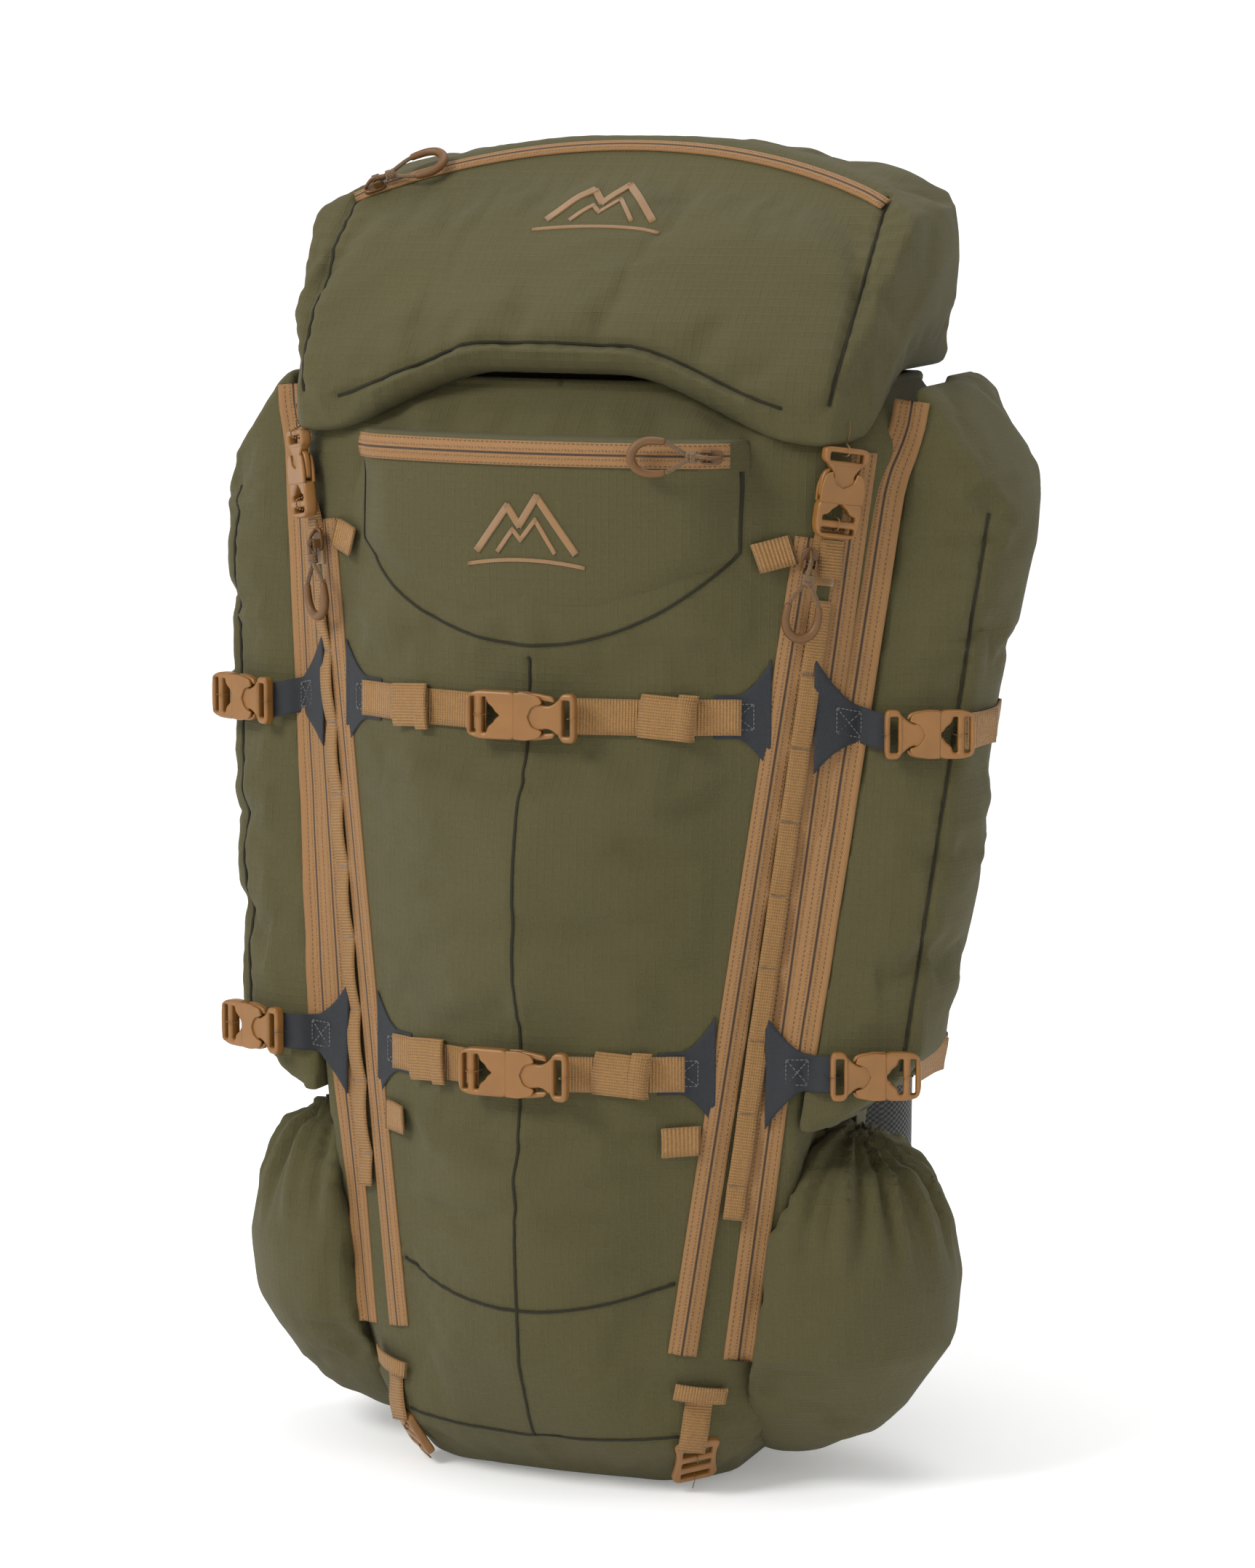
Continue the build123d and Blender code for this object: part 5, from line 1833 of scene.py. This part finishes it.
class BACKPACK_OT_pulls(bpy.types.Operator):
    """Adds the zip sliders and their cord pulls with moulded grips"""

    bl_idname = "backpack.pulls"
    bl_label = "Zip pulls"

    def execute(self, context):
        for zip_name in PULLS:
            pull = f"{zip_name}_pull"
            turn = joint(f"{pull}_swing")
            pin = Vector(turn["pos_m"])
            across = -Vector(turn["axis"]).normalized()
            along = Vector(node_points(pull).mean(axis=0)) - pin
            along = (along - across * along.dot(across)).normalized()
            out = along.cross(across)
            place = Matrix.Translation(pin) @ Matrix((along, across, out)).transposed().to_4x4()
            self.add_grip(pull, place)
            self.add_slider(f"{zip_name}_slider", place)
        return {"FINISHED"}

    def add_grip(self, name, place):
        line = curve_through([
            (28.5, 10.4, 0.4), (33, 11.2, 0.2), (41, 11.2, 0), (47.5, 8.6, 0), (51, 4.2, 0), (52, 0, 0),
            (51, -4.2, 0), (47.5, -8.6, 0), (41, -11.2, 0), (33, -11.2, 0.2), (28.5, -10.4, 0.4),
        ], 5)
        radii = []
        for i in range(len(line)):
            middle = abs(2 * i / (len(line) - 1) - 1)
            radii.append(0.0033 - 0.0009 * middle ** 2 - (0.0006 if middle > 0.97 else 0.0))
        grip = tube(f"{name}_grip", placed(line, place), radii, "grip", name, 12)
        strands = curve_through([
            (31, 10.8, 0.4), (26, 9.4, 0.6), (19, 5.2, 1.2), (12.5, 1.2, 1.5), (7, -0.8, 1.9),
            (2.2, -0.4, 2.3), (-1.7, 0.2, 1.6), (-2.4, 0.3, -0.2), (-1.2, 0.4, -1.6), (3, 0.8, -1.6),
            (8, 1.0, -1.2), (13, -1.0, -0.9), (19, -5.0, -0.2), (26, -9.2, 0.2), (31, -10.8, 0.4),
        ], 6)
        tube(f"{name}_cord", placed(strands, place), 0.00160, "cord", name, 10)
        for number, (x, lean) in enumerate(((8.6, 0.5), (11.0, -0.5), (13.0, 0.3))):
            wrap = []
            for k in range(16):
                turn = 2 * math.pi * k / 16
                up = math.sin(turn)
                wrap.append(Vector((x + lean * up, 2.7 * math.cos(turn), 0.4 + 2.4 * up)))
            tube(
                f"{name}_knot_{number + 1}", placed(wrap, place), 0.00150, "cord", name, 8,
                closed=True,
            )
        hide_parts(name)

    def add_slider(self, name, place):
        drop = place @ Matrix.Translation((-0.003, 0, -0.0066))
        body = rounded([
            (-8, -3.4, 2), (-5, -5.4, 2), (5, -5.2, 1.5), (8.4, -3.6, 1.5), (8.4, 3.6, 1.5), (5, 5.2, 1.5),
            (-5, 5.4, 2), (-8, 3.4, 2),
        ], 1.5)
        made = moulding(f"{name}_body", body, [], 3.0, 0.9, drop, "slider", name, 0.9)
        for side, word in ((1, "a"), (-1, "b")):
            near, far = side * 3.2, side * 4.8
            ear = rounded([(0.2, near), (0.2, far), (6.0, far), (6.0, near)][::side], 0.5)
            moulding(
                f"{name}_ear_{word}", ear, [], 6.2, 0.4, drop, "slider", name, 5.0
            )
        pin = placed([Vector((0, y, 0)) for y in (-4.6, 0, 4.6)], place)
        tube(f"{name}_pin", pin, 0.0008, "slider", name, 8)
        arch = [(-6.5, 0, 3.0), (-4.0, 0, 5.6), (0.0, 0, 8.6), (4.5, 0, 9.4), (8.0, 0, 7.4)]
        bridge = placed(curve_through(arch, 4), drop)
        tube(f"{name}_bridge", bridge, 0.0013, "slider", name, 8)
        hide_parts(name)


# ---------------------------------------------------------------- embroidery
PEAKS = (
    ((-36, -14), (-13, 17), (-4, 4), (9, 24), (37, -14)),
    ((-20, -14), (-9, 1), (-3, -6), (8, 8), (22, -14)),
)


class BACKPACK_OT_embroidery(bpy.types.Operator):
    """Adds a plain embroidered mark of mountain peaks to the lid and the front pocket"""

    bl_idname = "backpack.embroidery"
    bl_label = "Embroidered marks"

    def execute(self, context):
        middle, normal = lid_plane()
        spot = middle + lid_up() * (arch_radius() - 0.070)
        self.add_mark("lid_mark", spot, lid_up(), normal, 1.10, "lid", lid_surface())
        spot = Vector((0.0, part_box("front_pocket")[0].y, 0.688))
        self.add_mark("pocket_mark", spot, UP, AHEAD, 1.0, "pack", None)
        return {"FINISHED"}

    def add_mark(self, name, spot, up, outward, size, body, tree):
        for number, line in enumerate(PEAKS):
            path = [spot + Vector((x, 0, 0)) * MM * size + up * (y * MM * size) for x, y in line]
            for leg, (a, b) in enumerate(zip(path, path[1:])):
                along = (b - a).normalized() * 0.0012
                ribbon(
                    f"{name}_{number + 1}_{leg + 1}", [a - along, a.lerp(b, 0.5), b + along], outward,
                    (0.0050 if number == 0 else 0.0030) * size, "thread", body, lift=-0.0002, thick=0.0009,
                    tree=tree, step=0.004, crown=lambda o: 0.0003, slot="tan_webbing",
                )
        base = [
            spot + Vector((x, 0, 0)) * MM * size + up * ((-20 - 0.0022 * x * x) * MM * size)
            for x in range(-44, 45, 8)
        ]
        ribbon(
            f"{name}_base", base, outward, 0.0026 * size, "thread", body, lift=-0.0002, thick=0.0009,
            tree=tree, step=0.004, slot="tan_webbing",
        )


# ---------------------------------------------------------------- harness
class BACKPACK_OT_harness(bpy.types.Operator):
    """Adds the padded harness, its mesh and its webbing, and gives the frame behind it its plastic and metal
    """

    bl_idname = "backpack.harness"
    bl_label = "Harness"

    def execute(self, context):
        pads = (
            ("back_pad", "mesh", 0.0055, 0.004), ("lumbar_pad", "mesh", 0.0050, 0.004),
            ("shoulder_straps", "mesh", 0.0045, 0.003), ("hip_belt", "mesh", 0.0055, 0.004),
            ("haul_loop", "webbing", 0.0025, 0.0),
        )
        for node, key, grain, cap in pads:
            made = cushion(
                f"{node}_cloth", NODES[node].data.copy(), grain, lambda co: np.zeros(len(co)),
                sizes().pressure * 0.6, sizes().slack * 0.5, cap,
            )
            smooth = made.modifiers.new("Smooth", "SMOOTH")
            smooth.factor = 0.5
            smooth.iterations = 4
            apply_all(made)
            skinned(made, key, "pack", (node,))
        for node in ("shoulder_webs", "load_lifters", "sternum_web", "hip_web"):
            add_web_copy(node)
        for side, _ in SIDES:
            add_strap_link(side)
        for _, word in SIDES:
            place = buckle_frame(f"lid_clip_{word}", SHORT_END)
            hanging = [(34.5, -4.0), (36.5, -1.6), (42, 0.4), (50, -1.0)]
            made = threaded(f"lid_web_{word}", place, MM, hanging, 0.0235, "webbing", "lid")
        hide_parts("lid_webs")
        for node, key in (("frame_sheet", "sheet"), ("frame_stays", "metal")):
            NODES[node].data.materials.clear()
            NODES[node].data.materials.append(material(key))
        return {"FINISHED"}


def end_of(node, side, top):
    """The middle of a part's upper or lower end, on one side of the pack."""
    co = node_points(node)
    co = co[co[:, 0] * side > 0]
    edge = co[:, 2].max() if top else co[:, 2].min()
    return Vector(co[np.abs(co[:, 2] - edge) < 0.012].mean(axis=0))


def add_strap_link(side):
    """The web that leaves the padding of a shoulder strap and runs into its adjuster."""
    pad = end_of("shoulder_straps", side, False)
    web = end_of("shoulder_webs", side, True)
    line = curve_through([pad + Vector((0, 0, 0.02)), pad, web, web - Vector((0, 0, 0.02))], 5)
    ribbon(
        f"strap_link_{word_of(side)}", line, (side * 0.5, 1, 0), 0.024, "webbing", lift=0.0, thick=0.0018,
        float_free=True,
    )


def add_web_copy(node):
    """A harness web: the frame's strip with rounded edges and ribs across it."""
    data = NODES[node].data.copy()
    data.materials.clear()
    made = bpy.data.objects.new(f"{node}_ribbed", data)
    bpy.context.scene.collection.objects.link(made)
    bevel = made.modifiers.new("Edge", "BEVEL")
    bevel.width = 0.0005
    bevel.segments = 2
    bevel.limit_method = "ANGLE"
    apply_all(made)
    box_flat(made.data)
    low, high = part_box(node)
    if high.z - low.z > 0.06:
        layer = made.data.uv_layers["UVMap"]
        flat = np.zeros(len(layer.data) * 2)
        layer.data.foreach_get("uv", flat)
        layer.data.foreach_set("uv", flat.reshape(-1, 2)[:, ::-1].ravel())
    finish_piece(made, "webbing", "pack")
    made.data.set_sharp_from_angle(angle=math.radians(40))
    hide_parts(node)


# ---------------------------------------------------------------- stage
class BACKPACK_OT_stage(bpy.types.Operator):
    """Adds the floor, the lights and the camera"""

    bl_idname = "backpack.stage"
    bl_label = "Stage"

    def execute(self, context):
        add_camera()
        add_floor()
        add_light("key_light", (-1.7, -2.5, 2.9), 1.5, 92.0)
        add_light("fill_light", (2.6, -2.2, 1.6), 2.2, 2.0)
        add_light("top_light", (0.2, 0.6, 3.2), 2.4, 34.0)
        world = bpy.data.worlds.new("studio")
        world.use_nodes = True
        sky = world.node_tree.nodes["Background"]
        sky.inputs["Color"].default_value = (1.0, 1.0, 1.0, 1.0)
        sky.inputs["Strength"].default_value = 0.64
        context.scene.world = world
        context.scene.view_settings.view_transform = "Standard"
        return {"FINISHED"}


LOOK_AT = Vector((0.050, -0.080, 0.505))
CAMERA_PLACE = Vector((1.3444, -3.2838, 1.0226))


def add_camera():
    data = bpy.data.cameras.new("camera")
    data.lens = sizes().camera_lens
    data.sensor_width = 36.0
    camera = bpy.data.objects.new("camera", data)
    camera.location = CAMERA_PLACE
    camera.rotation_euler = (LOOK_AT - CAMERA_PLACE).to_track_quat("-Z", "Y").to_euler()
    bpy.context.scene.collection.objects.link(camera)
    bpy.context.scene.camera = camera


def add_floor():
    """A pale round sweep: flat under the pack and curving up all round it."""
    radius, bend, rise, sides = 5.4, 0.9, 2.0, 96
    profile = [(0.0, 0.0), (radius - bend, 0.0)]
    for i in range(1, 13):
        turn = math.pi / 2 * i / 12
        profile.append((radius - bend + bend * math.sin(turn), bend - bend * math.cos(turn)))
    profile.append((radius, rise))
    sunk = 0.0004  # keeps the floor just below the pack's base
    points = [(0.0, 0.0, -sunk)]
    for reach, z in profile[1:]:
        for k in range(sides):
            turn = 2 * math.pi * k / sides
            points.append((reach * math.cos(turn), reach * math.sin(turn), z - sunk))
    faces = [(0, 1 + k, 1 + (k + 1) % sides) for k in range(sides)]
    for row in range(len(profile) - 2):
        low, high = 1 + row * sides, 1 + (row + 1) * sides
        faces += [(low + k, high + k, high + (k + 1) % sides, low + (k + 1) % sides) for k in range(sides)]
    mesh = bpy.data.meshes.new("floor")
    mesh.from_pydata(points, [], faces)
    floor = bpy.data.objects.new("floor", mesh)
    bpy.context.scene.collection.objects.link(floor)
    recipe = Recipe("floor_paper", (0.93, 0.93, 0.93), 0.9)
    recipe.shader.inputs["Emission Color"].default_value = (1.0, 1.0, 1.0, 1.0)
    recipe.shader.inputs["Emission Strength"].default_value = 0.20
    mesh.materials.append(recipe.material)
    mesh.polygons.foreach_set("use_smooth", [True] * len(mesh.polygons))


def add_light(name, place, size, power):
    data = bpy.data.lights.new(name, "AREA")
    data.shape = "DISK"
    data.size = size
    data.energy = power
    light = bpy.data.objects.new(name, data)
    light.location = place
    light.rotation_euler = (Vector((0, 0, 0.5)) - Vector(place)).to_track_quat("-Z", "Y").to_euler()
    bpy.context.scene.collection.objects.link(light)


# ---------------------------------------------------------------- registration
OPERATORS = (
    BACKPACK_OT_stage,
    BACKPACK_OT_main_bag,
    BACKPACK_OT_pockets,
    BACKPACK_OT_lid,
    BACKPACK_OT_seams,
    BACKPACK_OT_zips,
    BACKPACK_OT_webbing,
    BACKPACK_OT_buckles,
    BACKPACK_OT_ladder_locks,
    BACKPACK_OT_pulls,
    BACKPACK_OT_embroidery,
    BACKPACK_OT_harness,
)


class BACKPACK_PT_panel(bpy.types.Panel):
    """Lists the steps that build the backpack"""

    bl_idname = "BACKPACK_PT_panel"
    bl_label = "Hunting Backpack"
    bl_space_type = "VIEW_3D"
    bl_region_type = "UI"
    bl_category = "Backpack"

    def draw(self, context):
        for group in (context.scene.backpack_sizes, context.scene.backpack_colours):
            for name in group.__annotations__:
                self.layout.prop(group, name)
        for operator in OPERATORS:
            self.layout.operator(operator.bl_idname)


CLASSES = (BackpackColours, BackpackSizes, *OPERATORS, BACKPACK_PT_panel)


def register():
    for one in CLASSES:
        bpy.utils.register_class(one)
    bpy.types.Scene.backpack_colours = bpy.props.PointerProperty(type=BackpackColours)
    bpy.types.Scene.backpack_sizes = bpy.props.PointerProperty(type=BackpackSizes)


def unregister():
    del bpy.types.Scene.backpack_sizes
    del bpy.types.Scene.backpack_colours
    for one in reversed(CLASSES):
        bpy.utils.unregister_class(one)


def main():
    register()
    for operator in OPERATORS:
        group, step = operator.bl_idname.split(".")
        getattr(getattr(bpy.ops, group), step)()


if __name__ == "__main__":
    main()
